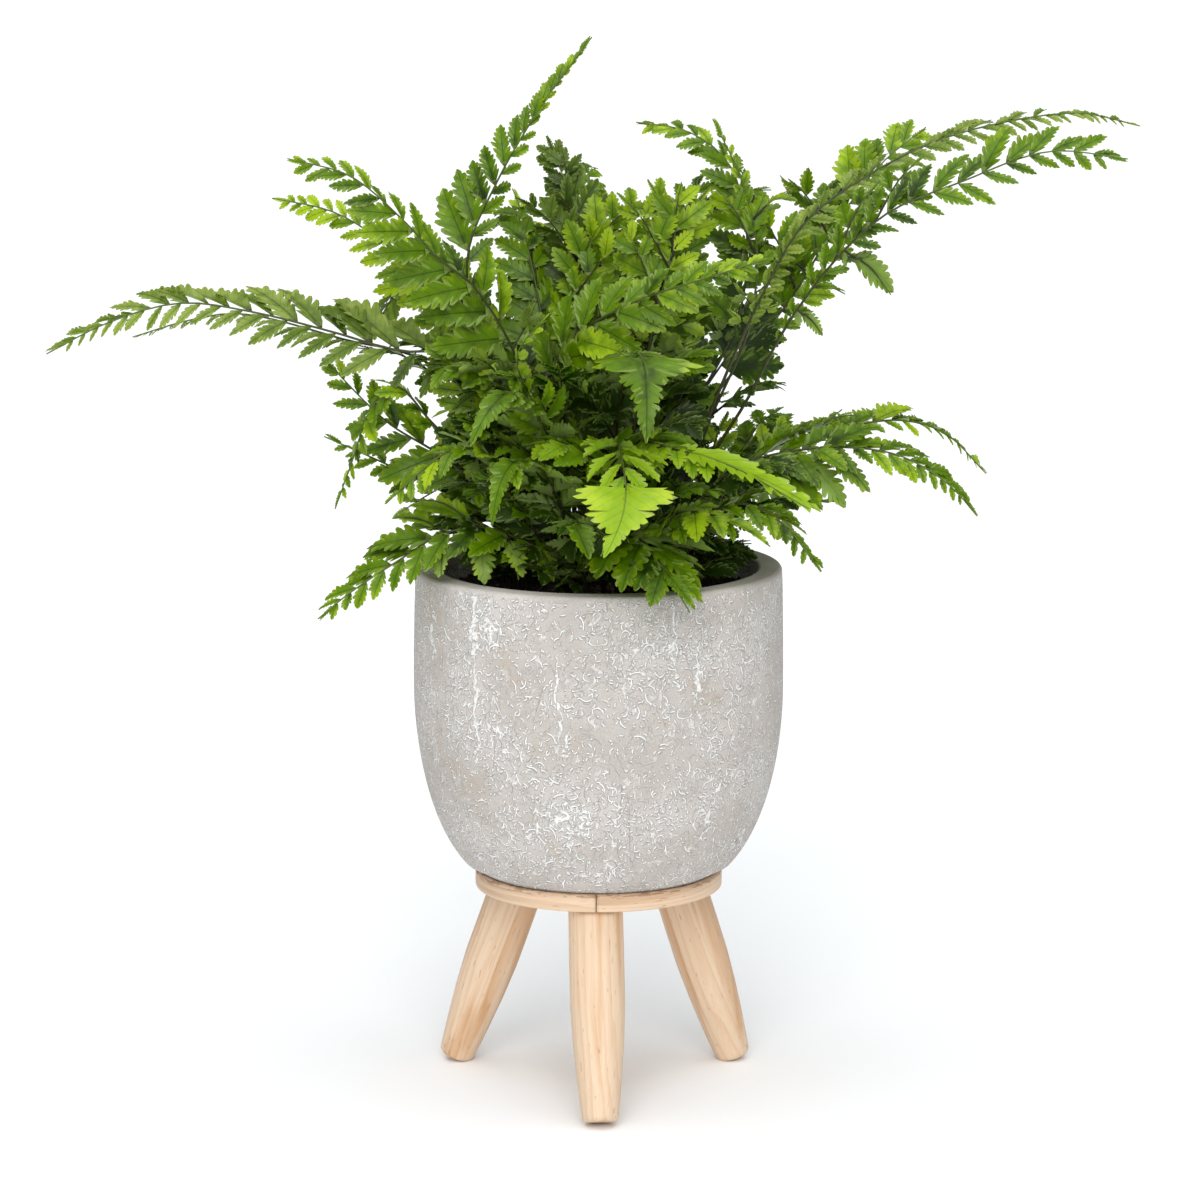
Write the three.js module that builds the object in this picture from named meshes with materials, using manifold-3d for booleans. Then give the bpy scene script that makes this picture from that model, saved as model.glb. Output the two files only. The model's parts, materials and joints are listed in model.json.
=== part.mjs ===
// A fern in a cement pot, on a round pine stand with three splayed legs.
// Millimetres, +Z up. The origin is on the floor, on the axis of the pot and the stand,
// and -Y is the front. Every frond grows from its own foot in the soil.
import * as THREE from "three";
import { mergeVertices } from "three/addons/utils/BufferGeometryUtils.js";
import Module from "manifold-3d";

const wasm = await Module();
wasm.setup();

// Heights above the floor and radii of the stand and the pot.
const SEAT_GAP = 0.3; // clearance between pieces that rest on or in each other
const BOARD_TOP = 101;
const BOARD_THICKNESS = 8;
const BOARD_BOTTOM = BOARD_TOP - BOARD_THICKNESS;
const BAND_RADIUS = 56; // outside of the bent strip round the board
const BAND_THICKNESS = 3.2;
const BAND_ROUNDING = 1.5;
const BAND_JOINT = { width: 0.5, x: -1.1 }; // the butt joint of the strip's ends, in front
const POT_BASE = BOARD_TOP + SEAT_GAP;
const RIM_HEIGHT = 240;
const POT_RADIUS = 83.3; // at the belly
const RIM_DRAW = 0.8; // how far the wall draws in from the belly to the rim
const RIM_ROUNDING = 1.6;
const POT_FOOT_RADIUS = 54.5;
const BOWL_TOP = 186; // below this height the wall curves in as a quarter ellipse
const BOWL_DEPTH = 90;
const BOWL_INSET = 40;
const POT_WALL = 10.6;
const POT_FLOOR = 12;
const POT_SIDES = 32;
const STAND_SIDES = 32;
const SOIL_SIDES = 20;
const SOIL_TOP = 228;
const SOIL_HEAVE = 1.2; // how far the soil's surface rises and falls

// The turned legs, each set by the angles of its top and its foot round the stand.
const LEG_TOP_RADIUS = 40.5; // from the stand's axis to the leg's axis, under the board
const LEG_SIDES = 14;
const LEG_GIRTH = [
  // share of the leg's length, from the board down, and the leg's radius there
  [-0.08, 12.1],
  [0.25, 12.3],
  [0.46, 12.3],
  [0.64, 11.4],
  [0.82, 9.9],
  [0.992, 8.1],
  [1, 7.5],
];
const LEG_END_RADIUS = 7.9;
const LEGS = [
  { name: "front", top: -92, foot: -89.4, reach: 74.5 },
  { name: "back_left", top: 150, foot: 151, reach: 75.8 },
  { name: "back_right", top: 30, foot: 31, reach: 72.9 },
];
const WEAR = 0.45; // how much of a leg's lowest edge is worn to a flat spot

// The screw that holds each leg, sunk in the board under the pot.
const SCREW = { radius: 2, head: 4, cone: 2.6, bite: 26, point: 5, sink: 1.4 };
const SCREW_SIDES = 8;
const TRIM = 300; // side of the blocks that cut the legs off level

// Stems and blades.
const STEM_RADIUS = 1.3;
const STEM_HOLE = 2.3; // radius of the stem's hole in the soil
const STEM_HOLE_SIDES = 5;
const FOOT_DEPTH = 10; // how far a stem reaches below the soil's surface
const STEM_STEPS = 4; // straight pieces in the bare stem
const BLADE = 0.7; // thickness of a leaflet
const CLEAR_BLADE = 1.3; // the same with room for the gap to what is next to it
const PAIR_PITCH = 21; // mean room along the rib for one pair of leaflets
const CROWDING = 1.4; // how much closer the pairs are towards the tip
const LARGE_LEAFLET = 27; // length from which a leaflet is drawn with lobes
const MIDDLE_LEAFLET = 18;
const LEAFLET_SAG = 0.16; // how far a leaflet's tip hangs, as a share of its length

const UP = new THREE.Vector3(0, 0, 1);
const point = (x, y, z) => new THREE.Vector3(x, y, z);
const radians = THREE.MathUtils.degToRad;
const polar = (radius, degrees, z) =>
  point(radius * Math.cos(radians(degrees)), radius * Math.sin(radians(degrees)), z);
const evenly = (from, to, steps) =>
  Array.from({ length: steps + 1 }, (_, i) => from + ((to - from) * i) / steps);

// A closed three.js geometry as a solid that can be cut and joined.
function solid(geometry) {
  const bare = geometry.clone();
  bare.deleteAttribute("normal");
  bare.deleteAttribute("uv");
  const merged = mergeVertices(bare, 1e-4);
  return new wasm.Manifold(
    new wasm.Mesh({
      numProp: 3,
      vertProperties: merged.attributes.position.array,
      triVerts: new Uint32Array(merged.index.array),
    }),
  );
}

function geometryOf(manifold) {
  const mesh = manifold.getMesh();
  const geometry = new THREE.BufferGeometry();
  geometry.setAttribute("position", new THREE.BufferAttribute(mesh.vertProperties, 3));
  geometry.setIndex(new THREE.BufferAttribute(mesh.triVerts, 1));
  geometry.computeVertexNormals();
  return geometry;
}

// A round shape about Z. The profile's points are [radius, height] and go up its outside.
function lathe(profile, sides) {
  const points = profile.map(([r, z]) => new THREE.Vector2(r, z));
  return new THREE.LatheGeometry(points, sides).rotateX(Math.PI / 2);
}

function block(width, depth, height, x, y, z) {
  return solid(new THREE.BoxGeometry(width, depth, height).translate(x, y, z));
}

// The pot: a straight wall above a bowl, one casting with a floor.
function outerRadius(z) {
  if (z >= BOWL_TOP) {
    const share = (z - BOWL_TOP) / (RIM_HEIGHT - BOWL_TOP);
    return POT_RADIUS - RIM_DRAW * share * share;
  }
  const fall = (BOWL_TOP - z) / BOWL_DEPTH;
  return POT_RADIUS - BOWL_INSET * (1 - Math.sqrt(1 - fall * fall));
}

const POT_BOTTOM = POT_BASE + POT_FLOOR; // the top of the pot's floor
const innerRadius = (z) => outerRadius(Math.max(z, POT_BOTTOM)) - POT_WALL;

function potSolid() {
  const shoulder = RIM_HEIGHT - RIM_ROUNDING;
  const rim = outerRadius(RIM_HEIGHT);
  const bowl = evenly(POT_BASE + 1, BOWL_TOP, 6).map((z) => [outerRadius(z), z]);
  const lining = evenly(BOWL_TOP, POT_BOTTOM, 4).map((z) => [innerRadius(z), z]);
  const profile = [
    [0, POT_BASE],
    [POT_FOOT_RADIUS, POT_BASE],
    ...bowl,
    [outerRadius(shoulder), shoulder],
    [rim - 0.3 * RIM_ROUNDING, RIM_HEIGHT - 0.3 * RIM_ROUNDING],
    [rim - RIM_ROUNDING, RIM_HEIGHT],
    [innerRadius(RIM_HEIGHT) + RIM_ROUNDING / 2, RIM_HEIGHT],
    [innerRadius(shoulder), shoulder],
    ...lining,
    [0, POT_BOTTOM],
  ];
  return solid(lathe(profile, POT_SIDES));
}

// The soil fills the pot to just under the rim. Its surface heaves a little, and each stem
// has a plain hole in it.
function soilSurface(x, y) {
  return SOIL_TOP + SOIL_HEAVE * Math.sin(x * 0.11 + 1) * Math.cos(y * 0.13);
}

function soilSolid(fronds) {
  const floor = POT_BOTTOM + SEAT_GAP;
  const wall = [floor, 130, 155, SOIL_TOP].map((z) => [innerRadius(z) - 2 * SEAT_GAP, z]);
  const surface = [42, 0].map((r) => [r, SOIL_TOP]);
  const geometry = lathe([[0, floor], ...wall, ...surface], SOIL_SIDES);
  const place = geometry.attributes.position;
  for (let i = 0; i < place.count; i += 1) {
    if (place.getZ(i) > SOIL_TOP - 0.1) place.setZ(i, soilSurface(place.getX(i), place.getY(i)));
  }
  const depth = FOOT_DEPTH + SEAT_GAP;
  const above = 4;
  return fronds.reduce((made, { foot }) => {
    const hole = new THREE.CylinderGeometry(STEM_HOLE, STEM_HOLE, depth + above, STEM_HOLE_SIDES)
      .rotateX(Math.PI / 2)
      .translate(foot[0], foot[1], SOIL_TOP + (above - depth) / 2);
    return made.subtract(solid(hole));
  }, solid(geometry));
}

// The stand: a round board, a strip bent round its edge with a butt joint in front, and a
// leg screwed under it at each third of a turn.
function legFrame(leg) {
  const top = polar(LEG_TOP_RADIUS, leg.top, BOARD_BOTTOM);
  const lean = Math.atan2(leg.reach - LEG_TOP_RADIUS, BOARD_BOTTOM);
  const foot = polar(leg.reach, leg.foot, LEG_END_RADIUS * Math.sin(lean) - WEAR);
  const down = foot.clone().sub(top);
  const turn = new THREE.Quaternion().setFromUnitVectors(UP, down.clone().normalize());
  return { length: down.length(), matrix: new THREE.Matrix4().compose(top, turn, point(1, 1, 1)) };
}

// A leg's screw, or with grow and rise its hole: wider all round, and open at the top.
function screwSolid(leg, grow = 0, rise = 0) {
  const crown = SCREW.sink - BOARD_THICKNESS - rise;
  const neck = SCREW.sink - BOARD_THICKNESS;
  const profile = [
    [0, crown - grow],
    [SCREW.head + grow, crown - grow],
    [SCREW.head + grow, neck + 0.4],
    [SCREW.radius + grow, neck + SCREW.cone],
    [SCREW.radius + grow, SCREW.bite - SCREW.point],
    [0.5 + grow, SCREW.bite + grow],
    [0, SCREW.bite + grow],
  ];
  return solid(lathe(profile, SCREW_SIDES).applyMatrix4(legFrame(leg).matrix));
}

function legSolid(leg) {
  const frame = legFrame(leg);
  const girth = LEG_GIRTH.map(([share, r]) => [r, share * frame.length]);
  const profile = [[0, girth[0][1]], ...girth, [0, frame.length]];
  const ceiling = BOARD_BOTTOM - SEAT_GAP;
  return solid(lathe(profile, LEG_SIDES).applyMatrix4(frame.matrix))
    .subtract(block(TRIM, TRIM, TRIM, 0, 0, ceiling + TRIM / 2))
    .subtract(block(TRIM, TRIM, TRIM, 0, 0, -TRIM / 2))
    .subtract(screwSolid(leg, SEAT_GAP));
}

function boardSolid() {
  const radius = BAND_RADIUS - BAND_THICKNESS - SEAT_GAP;
  const profile = [[0, BOARD_BOTTOM], [radius, BOARD_BOTTOM], [radius, BOARD_TOP], [0, BOARD_TOP]];
  const board = solid(lathe(profile, STAND_SIDES));
  return LEGS.reduce((made, leg) => made.subtract(screwSolid(leg, SEAT_GAP, BOARD_THICKNESS)), board);
}

function bandSolid() {
  const inside = BAND_RADIUS - BAND_THICKNESS;
  const profile = [
    [inside, BOARD_BOTTOM],
    [BAND_RADIUS - BAND_ROUNDING / 2, BOARD_BOTTOM],
    [BAND_RADIUS, BOARD_BOTTOM + BAND_ROUNDING / 2],
    [BAND_RADIUS, BOARD_TOP - BAND_ROUNDING],
    [BAND_RADIUS - BAND_ROUNDING, BOARD_TOP],
    [inside, BOARD_TOP],
    [inside, BOARD_BOTTOM],
  ];
  const middle = (BOARD_TOP + BOARD_BOTTOM) / 2;
  const joint = block(
    BAND_JOINT.width, 4 * BAND_THICKNESS, 2 * BOARD_THICKNESS, BAND_JOINT.x, -BAND_RADIUS, middle,
  );
  return solid(lathe(profile, STAND_SIDES)).subtract(joint);
}

// The fronds in front and at the sides. Each rises from its foot in the soil [x, y] along
// the points of its path to its tip. half is the blade's half width, bare the share of the
// rib without leaflets, and roll turns the blade about its rib. heading is the compass of
// the arch, where that isn't the way from the foot to the tip.
const FRONDS = [
  {
    name: "left_long", foot: [-34, -4], half: 27, bare: 0.34, roll: -38,
    path: [
      [-47, -6, 334], [-88, -9, 338], [-119, -11, 347], [-154, -13, 356],
      [-185, -15, 360], [-216, -18, 352], [-244, -20, 338],
    ],
  },
  {
    name: "left_under", foot: [-30, 16], half: 15, bare: 0.55, roll: 4,
    path: [[-72, 26, 324], [-117, 35, 338], [-163, 45, 348], [-187, 54, 344], [-214, 64, 335]],
  },
  {
    name: "upper_left", foot: [-16, 2], half: 30, bare: 0.42, roll: -66,
    path: [
      [-31, -3, 320], [-54, -8, 365], [-71, -13, 380], [-87, -18, 398],
      [-109, -23, 417], [-136, -28, 425],
    ],
  },
  {
    name: "upper_left_pale", foot: [-22, 24], half: 24, bare: 0.45, roll: -62,
    path: [[-45, 32, 324], [-72, 39, 360], [-104, 47, 385], [-122, 54, 394], [-149, 62, 399]],
  },
  {
    name: "top", foot: [-8, 14], half: 20, bare: 0.46, roll: 0, heading: 90,
    path: [
      [-29, 17, 280], [-53, 21, 335], [-59, 24, 376], [-46, 27, 409],
      [-24, 31, 446], [-3, 34, 474],
    ],
  },
  {
    name: "top_dark", foot: [-4, 28], half: 27, bare: 0.48, roll: 0, heading: 90,
    path: [[-9, 38, 300], [-9, 47, 354], [-11, 56, 394], [-24, 66, 427]],
  },
  {
    name: "top_behind", foot: [-14, 38], half: 25, bare: 0.46, roll: 0,
    path: [[-18, 58, 316], [-27, 78, 369], [-40, 98, 400]],
  },
  {
    name: "pale_edge", foot: [-2, 6], half: 26, bare: 0.50, roll: -10, heading: 70,
    path: [[-11, 20, 298], [-15, 33, 347], [-6, 46, 372], [13, 60, 392]],
  },
  {
    name: "curled_tip", foot: [16, 20], half: 16, bare: 0.46, roll: -30, heading: 150,
    path: [
      [41, 26, 302], [63, 33, 347], [67, 39, 385], [59, 45, 416],
      [41, 52, 430], [17, 58, 434],
    ],
  },
  {
    name: "small_upright", foot: [24, 10], half: 13, bare: 0.56, roll: 0, heading: 90,
    path: [[48, 13, 299], [67, 16, 344], [71, 20, 380], [64, 23, 411], [51, 26, 438]],
  },
  {
    name: "young_crinkled", foot: [6, 10], half: 22, bare: 0.54, roll: 0, heading: 80,
    path: [[16, 11, 300], [25, 12, 349], [33, 13, 383], [29, 14, 408]],
  },
  {
    name: "right_high", foot: [22, -8], half: 24, bare: 0.36, roll: 24,
    path: [
      [52, -4, 315], [72, 0, 360], [92, 4, 394], [116, 8, 412],
      [147, 12, 428], [179, 16, 437], [215, 20, 441], [242, 24, 435],
    ],
  },
  {
    name: "right_long", foot: [34, -2], half: 25, bare: 0.40, roll: 60,
    path: [
      [45, -6, 279], [66, -9, 316], [83, -12, 349], [106, -16, 381],
      [128, -20, 401], [158, -23, 414], [197, -26, 428], [231, -30, 425],
    ],
  },
  {
    name: "right_behind", foot: [24, 20], half: 24, bare: 0.44, roll: 48,
    path: [
      [46, 30, 301], [69, 39, 332], [90, 49, 358], [108, 59, 387],
      [129, 68, 414], [150, 78, 430],
    ],
  },
  {
    name: "right_mid_back", foot: [42, 12], half: 20, bare: 0.34, roll: 20,
    path: [
      [46, 17, 267], [75, 22, 289], [105, 27, 297], [137, 32, 301],
      [158, 37, 294], [177, 42, 275],
    ],
  },
  {
    name: "right_mid", foot: [42, -10], half: 26, bare: 0.30, roll: 26,
    path: [
      [41, -15, 267], [65, -21, 289], [89, -26, 296], [111, -32, 298],
      [133, -37, 295], [154, -43, 283], [166, -48, 270],
    ],
  },
  {
    name: "right_low", foot: [38, -26], half: 20, bare: 0.34, roll: 18,
    path: [[38, -36, 257], [60, -45, 275], [79, -54, 269], [97, -64, 248]],
  },
  {
    name: "right_under", foot: [44, 4], half: 13, bare: 0.36, roll: 16,
    path: [[48, 6, 255], [66, 7, 263], [86, 8, 268], [110, 10, 267]],
  },
  {
    name: "front_right_bright", foot: [16, -16], half: 26, bare: 0.36, roll: 0,
    path: [[10, -32, 270], [16, -58, 303], [33, -84, 305], [58, -104, 300], [89, -120, 285]],
  },
  {
    name: "front_yellow", foot: [2, -24], half: 30, bare: 0.46, roll: 0,
    path: [[6, -38, 276], [8, -72, 305], [10, -106, 304], [11, -130, 290], [1, -145, 269]],
  },
  {
    name: "front_high", foot: [8, -10], half: 27, bare: 0.48, roll: 4,
    path: [[7, -18, 286], [10, -46, 326], [14, -86, 347], [20, -116, 345], [23, -132, 319]],
  },
  {
    name: "front_rim", foot: [12, -38], half: 27, bare: 0.27, roll: 0,
    path: [[10, -52, 258], [18, -74, 264], [29, -94, 253], [39, -107, 238]],
  },
  {
    name: "left_rim", foot: [-28, -28], half: 28, bare: 0.26, roll: -26,
    path: [
      [-17, -32, 248], [-35, -37, 258], [-52, -41, 264], [-70, -45, 261],
      [-87, -49, 251], [-109, -54, 237], [-123, -58, 226],
    ],
  },
  {
    name: "left_drooping", foot: [-36, -6], half: 10, bare: 0.50, roll: -20,
    path: [
      [-44, -9, 271], [-75, -11, 307], [-90, -14, 323], [-101, -17, 313],
      [-109, -19, 291], [-117, -22, 269],
    ],
  },
  {
    name: "left_small", foot: [-40, 6], half: 17, bare: 0.42, roll: -60,
    path: [[-44, 8, 264], [-71, 10, 288], [-95, 12, 303], [-124, 14, 332]],
  },
  {
    name: "left_mid", foot: [-40, 18], half: 13, bare: 0.42, roll: -40,
    path: [[-47, 22, 257], [-77, 27, 272], [-99, 32, 282], [-125, 36, 293]],
  },
  {
    name: "left_broad", foot: [-32, -18], half: 24, bare: 0.30, roll: -10,
    path: [[-35, -26, 269], [-49, -34, 295], [-63, -42, 299], [-78, -50, 290], [-93, -58, 277]],
  },
  {
    name: "left_upright", foot: [-26, -8], half: 22, bare: 0.42, roll: -10, heading: 100,
    path: [[-35, -10, 285], [-57, -11, 316], [-68, -12, 333], [-71, -14, 356]],
  },
  {
    name: "centre_right", foot: [-10, -12], half: 28, bare: 0.42, roll: 52, heading: 0,
    path: [
      [-13, -20, 295], [-20, -30, 330], [-9, -38, 349], [17, -48, 365],
      [44, -56, 375], [74, -62, 385],
    ],
  },
  {
    name: "front_left_high", foot: [-14, -24], half: 24, bare: 0.36, roll: -8,
    path: [[-17, -34, 275], [-26, -56, 316], [-38, -78, 328], [-49, -92, 319], [-58, -100, 307]],
  },
  {
    name: "front_left", foot: [-18, -34], half: 24, bare: 0.30, roll: 0,
    path: [[-15, -46, 264], [-23, -66, 291], [-35, -84, 300], [-42, -96, 289], [-46, -102, 275]],
  },
  {
    name: "front_small", foot: [-4, -42], half: 20, bare: 0.28, roll: 0,
    path: [[-5, -52, 251], [-10, -70, 271], [-9, -90, 272], [-4, -106, 263]],
  },
  {
    name: "front_right", foot: [26, -34], half: 24, bare: 0.24, roll: 6,
    path: [[25, -42, 254], [32, -56, 271], [46, -70, 275], [61, -80, 271], [74, -86, 263]],
  },
  {
    name: "centre_bright", foot: [-12, -20], half: 15, bare: 0.50, roll: -20, heading: 30,
    path: [[-17, -28, 283], [-32, -44, 325], [-35, -54, 343], [-20, -62, 362]],
  },
  {
    name: "centre_dark", foot: [2, -4], half: 27, bare: 0.46, roll: 0, heading: 90,
    path: [[-3, -10, 294], [-4, -20, 326], [-1, -30, 363]],
  },
];

// The side away from the front: three tiers of fronds, spread evenly round the back, the
// high ones steep and the low ones hanging out over the rim. No two are quite alike. count is
// the number of fronds, from and step set their compass, foot and reach are radii, and rise,
// crest and tip are heights along the arch.
const TIERS = [
  {
    name: "back_high", count: 3, from: 56, step: 34, foot: 20, half: 28, bare: 0.42,
    reach: 112, rise: 345, crest: 402, tip: 392,
  },
  {
    name: "back_mid", count: 5, from: 61, step: 17, foot: 37, half: 30, bare: 0.34,
    reach: 138, rise: 322, crest: 362, tip: 318,
  },
  {
    name: "back_low", count: 6, from: 49, step: 17, foot: 47, half: 27, bare: 0.28,
    reach: 136, rise: 280, crest: 292, tip: 246,
  },
];
for (const tier of TIERS) {
  for (let k = 0; k < tier.count; k += 1) {
    const heading = tier.from + tier.step * k;
    const stray = Math.sin(2.4 * k + tier.from);
    const reach = tier.reach * (1 + 0.1 * stray);
    const lift = 10 * stray;
    FRONDS.push({
      name: `${tier.name}_${k + 1}`,
      foot: polar(tier.foot, heading, 0).toArray().slice(0, 2),
      path: [
        polar(tier.foot + 0.22 * reach, heading, tier.rise + lift).toArray(),
        polar(0.74 * reach, heading + 4 * stray, tier.crest + lift).toArray(),
        polar(reach, heading + 7 * stray, tier.tip + lift).toArray(),
      ],
      half: tier.half,
      bare: tier.bare,
      roll: 12 * stray,
    });
  }
}

// The outline of one leaflet, from the rib to its tip, as [place, reach] pairs for its lower
// and upper edge. place runs from 0 to 1 over the leaflet's room on the rib, so it stays
// clear of the next one, and reach is a share of its length.
const LEAFLETS = {
  small: { edge: [[[0.1, 0.45], [0.88, 0.4]]], tip: 0.62 },
  middle: { edge: [[[0.04, 0.32], [0.96, 0.28]], [[0.17, 0.72], [0.82, 0.64]]], tip: 0.6 },
  large: {
    edge: [[[0.03, 0.3], [0.97, 0.26]], [[0.2, 0.42], [0.76, 0.42]], [[0.14, 0.68], [0.84, 0.64]]],
    tip: 0.56,
  },
};

function leafletKind(length) {
  if (length > LARGE_LEAFLET) return LEAFLETS.large;
  return length > MIDDLE_LEAFLET ? LEAFLETS.middle : LEAFLETS.small;
}

// Where a frond's rib runs, and how its blade lies there.
function ribOf(frond) {
  const foot = point(frond.foot[0], frond.foot[1], SOIL_TOP + 2.5);
  const way = frond.path.map((place) => point(...place));
  const tip = way[way.length - 1];
  const away = Math.atan2(tip.y - foot.y, tip.x - foot.x);
  const aside = point(-Math.sin(away), Math.cos(away), 0).multiplyScalar(frond.aside ?? 0);
  const bends = way.map((place) => (place === tip ? place : place.clone().add(aside)));
  const curve = new THREE.CatmullRomCurve3([foot, ...bends]);
  const heading = frond.heading === undefined ? away : radians(frond.heading);
  const side = point(-Math.sin(heading), Math.cos(heading), 0);
  const length = curve.getLength();
  const pairs = Math.max(4, Math.round((length * (1 - frond.bare)) / PAIR_PITCH));
  return {
    length,
    pairs,
    // The share of the rib at which a pair of leaflets starts.
    start: (pair) => frond.bare + (1 - frond.bare) * (1 - (1 - pair / (pairs + 1)) ** CROWDING),
    radius: (share) => STEM_RADIUS * (1 - 0.5 * share),
    at(share) {
      const middle = curve.getPointAt(share);
      const along = curve.getTangentAt(share);
      const left = side.clone().addScaledVector(along, -side.dot(along)).normalize();
      left.applyAxisAngle(along, radians(frond.roll) * Math.min(1, share / frond.bare));
      return { middle, along, left, face: along.clone().cross(left) };
    },
  };
}

// Half the blade's width, from its foot at 0 to its tip at 1.
function spread(share) {
  return Math.min(1, 0.62 + 3.2 * share) * (1 - share) ** 0.8 * (1 - 0.25 * share) + 0.1;
}

// A closed mesh that is put together corner by corner.
class Skin {
  places = [];
  faces = [];

  put(place) {
    this.places.push(place.x, place.y, place.z);
    return this.places.length / 3 - 1;
  }

  tri(a, b, c) {
    this.faces.push(a, b, c);
  }

  quad(a, b, c, d) {
    this.faces.push(a, b, c, a, c, d);
  }

  geometry() {
    const made = new THREE.BufferGeometry();
    made.setAttribute("position", new THREE.Float32BufferAttribute(this.places, 3));
    made.setIndex(this.faces);
    return made;
  }
}

// The four corners of a stem or rib: the top and bottom of its left edge, then the bottom
// and top of its right edge.
function corners({ middle, left, face }, radius) {
  const spots = [[1, 1], [1, -1], [-1, -1], [-1, 1]];
  return spots.map(([across, up]) =>
    middle.clone().addScaledVector(left, across * radius).addScaledVector(face, up * radius),
  );
}

function ribCorners(rib, share) {
  return corners(rib.at(share), 0.85 * rib.radius(share));
}

// The two corners that a leaflet on one side stands between.
const sideOf = (ring, hand) => (hand > 0 ? [ring[0], ring[1]] : [ring[3], ring[2]]);

// One leaflet's outline as [top, bottom] points: a lower and an upper one for each step
// outwards, then its tip. turn lifts it about the rib, in degrees, and keep shortens it.
function leafletShape(frond, rib, pair, hand, { turn, keep }, thickness) {
  const [from, to] = [rib.at(rib.start(pair)), rib.at(rib.start(pair + 1))];
  const { along, left, face } = rib.at((rib.start(pair) + rib.start(pair + 1)) / 2);
  const full = frond.half * spread(pair / rib.pairs);
  const length = full * keep;
  const forward = radians(30 + (20 * pair) / rib.pairs);
  const lift = radians(turn);
  const out = left.clone().multiplyScalar(hand * Math.cos(lift)).addScaledVector(face, Math.sin(lift));
  const run = out.clone().multiplyScalar(Math.cos(forward)).addScaledVector(along, Math.sin(forward));
  const normal = along.clone().cross(out).multiplyScalar(hand);
  const spot = (place, reach) => {
    const middle = from.middle.clone().lerp(to.middle, place).addScaledVector(run, reach * length);
    middle.addScaledVector(normal, -LEAFLET_SAG * length * reach * reach);
    return [0.5, -0.5].map((side) => middle.clone().addScaledVector(normal, side * thickness));
  };
  const kind = leafletKind(full);
  return {
    steps: kind.edge.map(([low, high]) => [spot(...low), spot(...high)]),
    tip: spot(kind.tip, 1),
  };
}

// Adds a leaflet between its [top, bottom] corners on the rib. Both of its faces are split
// alike, in a strip from the rib to the tip.
function addLeaflet(skin, lowRoot, highRoot, shape, hand) {
  const tri = (a, b, c) => (hand > 0 ? skin.tri(a, b, c) : skin.tri(a, c, b));
  const wall = (a, b) => {
    tri(a[0], b[0], b[1]);
    tri(a[0], b[1], a[1]);
  };
  const putPair = (pair) => pair.map((place) => skin.put(place));
  let [low, high] = [lowRoot, highRoot];
  for (const [nextLow, nextHigh] of shape.steps.map((step) => step.map(putPair))) {
    tri(low[0], high[0], nextHigh[0]);
    tri(low[0], nextHigh[0], nextLow[0]);
    tri(low[1], nextHigh[1], high[1]);
    tri(low[1], nextLow[1], nextHigh[1]);
    wall(low, nextLow);
    wall(nextHigh, high);
    [low, high] = [nextLow, nextHigh];
  }
  const tip = putPair(shape.tip);
  tri(low[0], high[0], tip[0]);
  tri(low[1], tip[1], high[1]);
  wall(low, tip);
  wall(tip, high);
}

// The narrow leaflet that ends a frond, in line with its rib.
function addEndLeaflet(skin, ring, frond, rib, thickness) {
  const share = rib.start(rib.pairs);
  const { middle, along, left, face } = rib.at(share);
  const rest = rib.length * (1 - share);
  const spot = (reach, across) => {
    const place = middle.clone().addScaledVector(along, reach * rest).addScaledVector(left, across);
    return [0.5, -0.5].map((side) => skin.put(place.clone().addScaledVector(face, side * thickness)));
  };
  const wide = Math.max(1.6, 0.1 * frond.half);
  const edge = [sideOf(ring, 1), spot(0.35, wide), spot(1, 0), spot(0.35, -wide), sideOf(ring, -1)];
  for (const [a, b, c] of [[0, 1, 3], [0, 3, 4], [1, 2, 3]]) {
    skin.tri(edge[a][0], edge[c][0], edge[b][0]);
    skin.tri(edge[a][1], edge[b][1], edge[c][1]);
  }
  for (let k = 0; k < 4; k += 1) {
    skin.quad(edge[k][0], edge[k + 1][0], edge[k + 1][1], edge[k][1]);
  }
}

// A frond as one closed mesh: a stem that goes on as the rib, leaflets cut to the rib in one
// thin arched blade, and the end leaflet. frond.bends says how each leaflet is turned and
// shortened, and before it is known only the stem, the rib and the end leaflet are made.
function frondGeometry(frond, thickness) {
  const rib = ribOf(frond);
  const skin = new Skin();
  const putRing = (ring) => ring.map((place) => skin.put(place));
  const sleeve = (a, b, strips = [0, 1, 2, 3]) => {
    for (const i of strips) skin.quad(a[i], b[i], b[(i + 1) % 4], a[(i + 1) % 4]);
  };

  const left = rib.at(0).left.setZ(0).normalize();
  const upright = (z) => ({ middle: point(...frond.foot, z), left, face: UP.clone().cross(left) });
  const stem = [SOIL_TOP - FOOT_DEPTH, SOIL_TOP + 2].map((z) => corners(upright(z), 0.85 * STEM_RADIUS));
  for (let i = 1; i <= STEM_STEPS; i += 1) stem.push(ribCorners(rib, (frond.bare * i) / STEM_STEPS));
  let ring = putRing(stem[0]);
  skin.quad(...ring);
  for (const next of stem.slice(1).map(putRing)) {
    sleeve(ring, next);
    ring = next;
  }
  for (let pair = 0; pair < rib.pairs; pair += 1) {
    const next = putRing(ribCorners(rib, rib.start(pair + 1)));
    sleeve(ring, next, [1, 3]);
    for (const hand of [1, -1]) {
      const bend = frond.bends?.get(hand * (pair + 1));
      if (bend) {
        const shape = leafletShape(frond, rib, pair, hand, bend, thickness);
        addLeaflet(skin, sideOf(ring, hand), sideOf(next, hand), shape, hand);
      } else {
        sleeve(ring, next, [hand > 0 ? 0 : 2]);
      }
    }
    ring = next;
  }
  addEndLeaflet(skin, ring, frond, rib, thickness);
  return skin.geometry();
}

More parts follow.
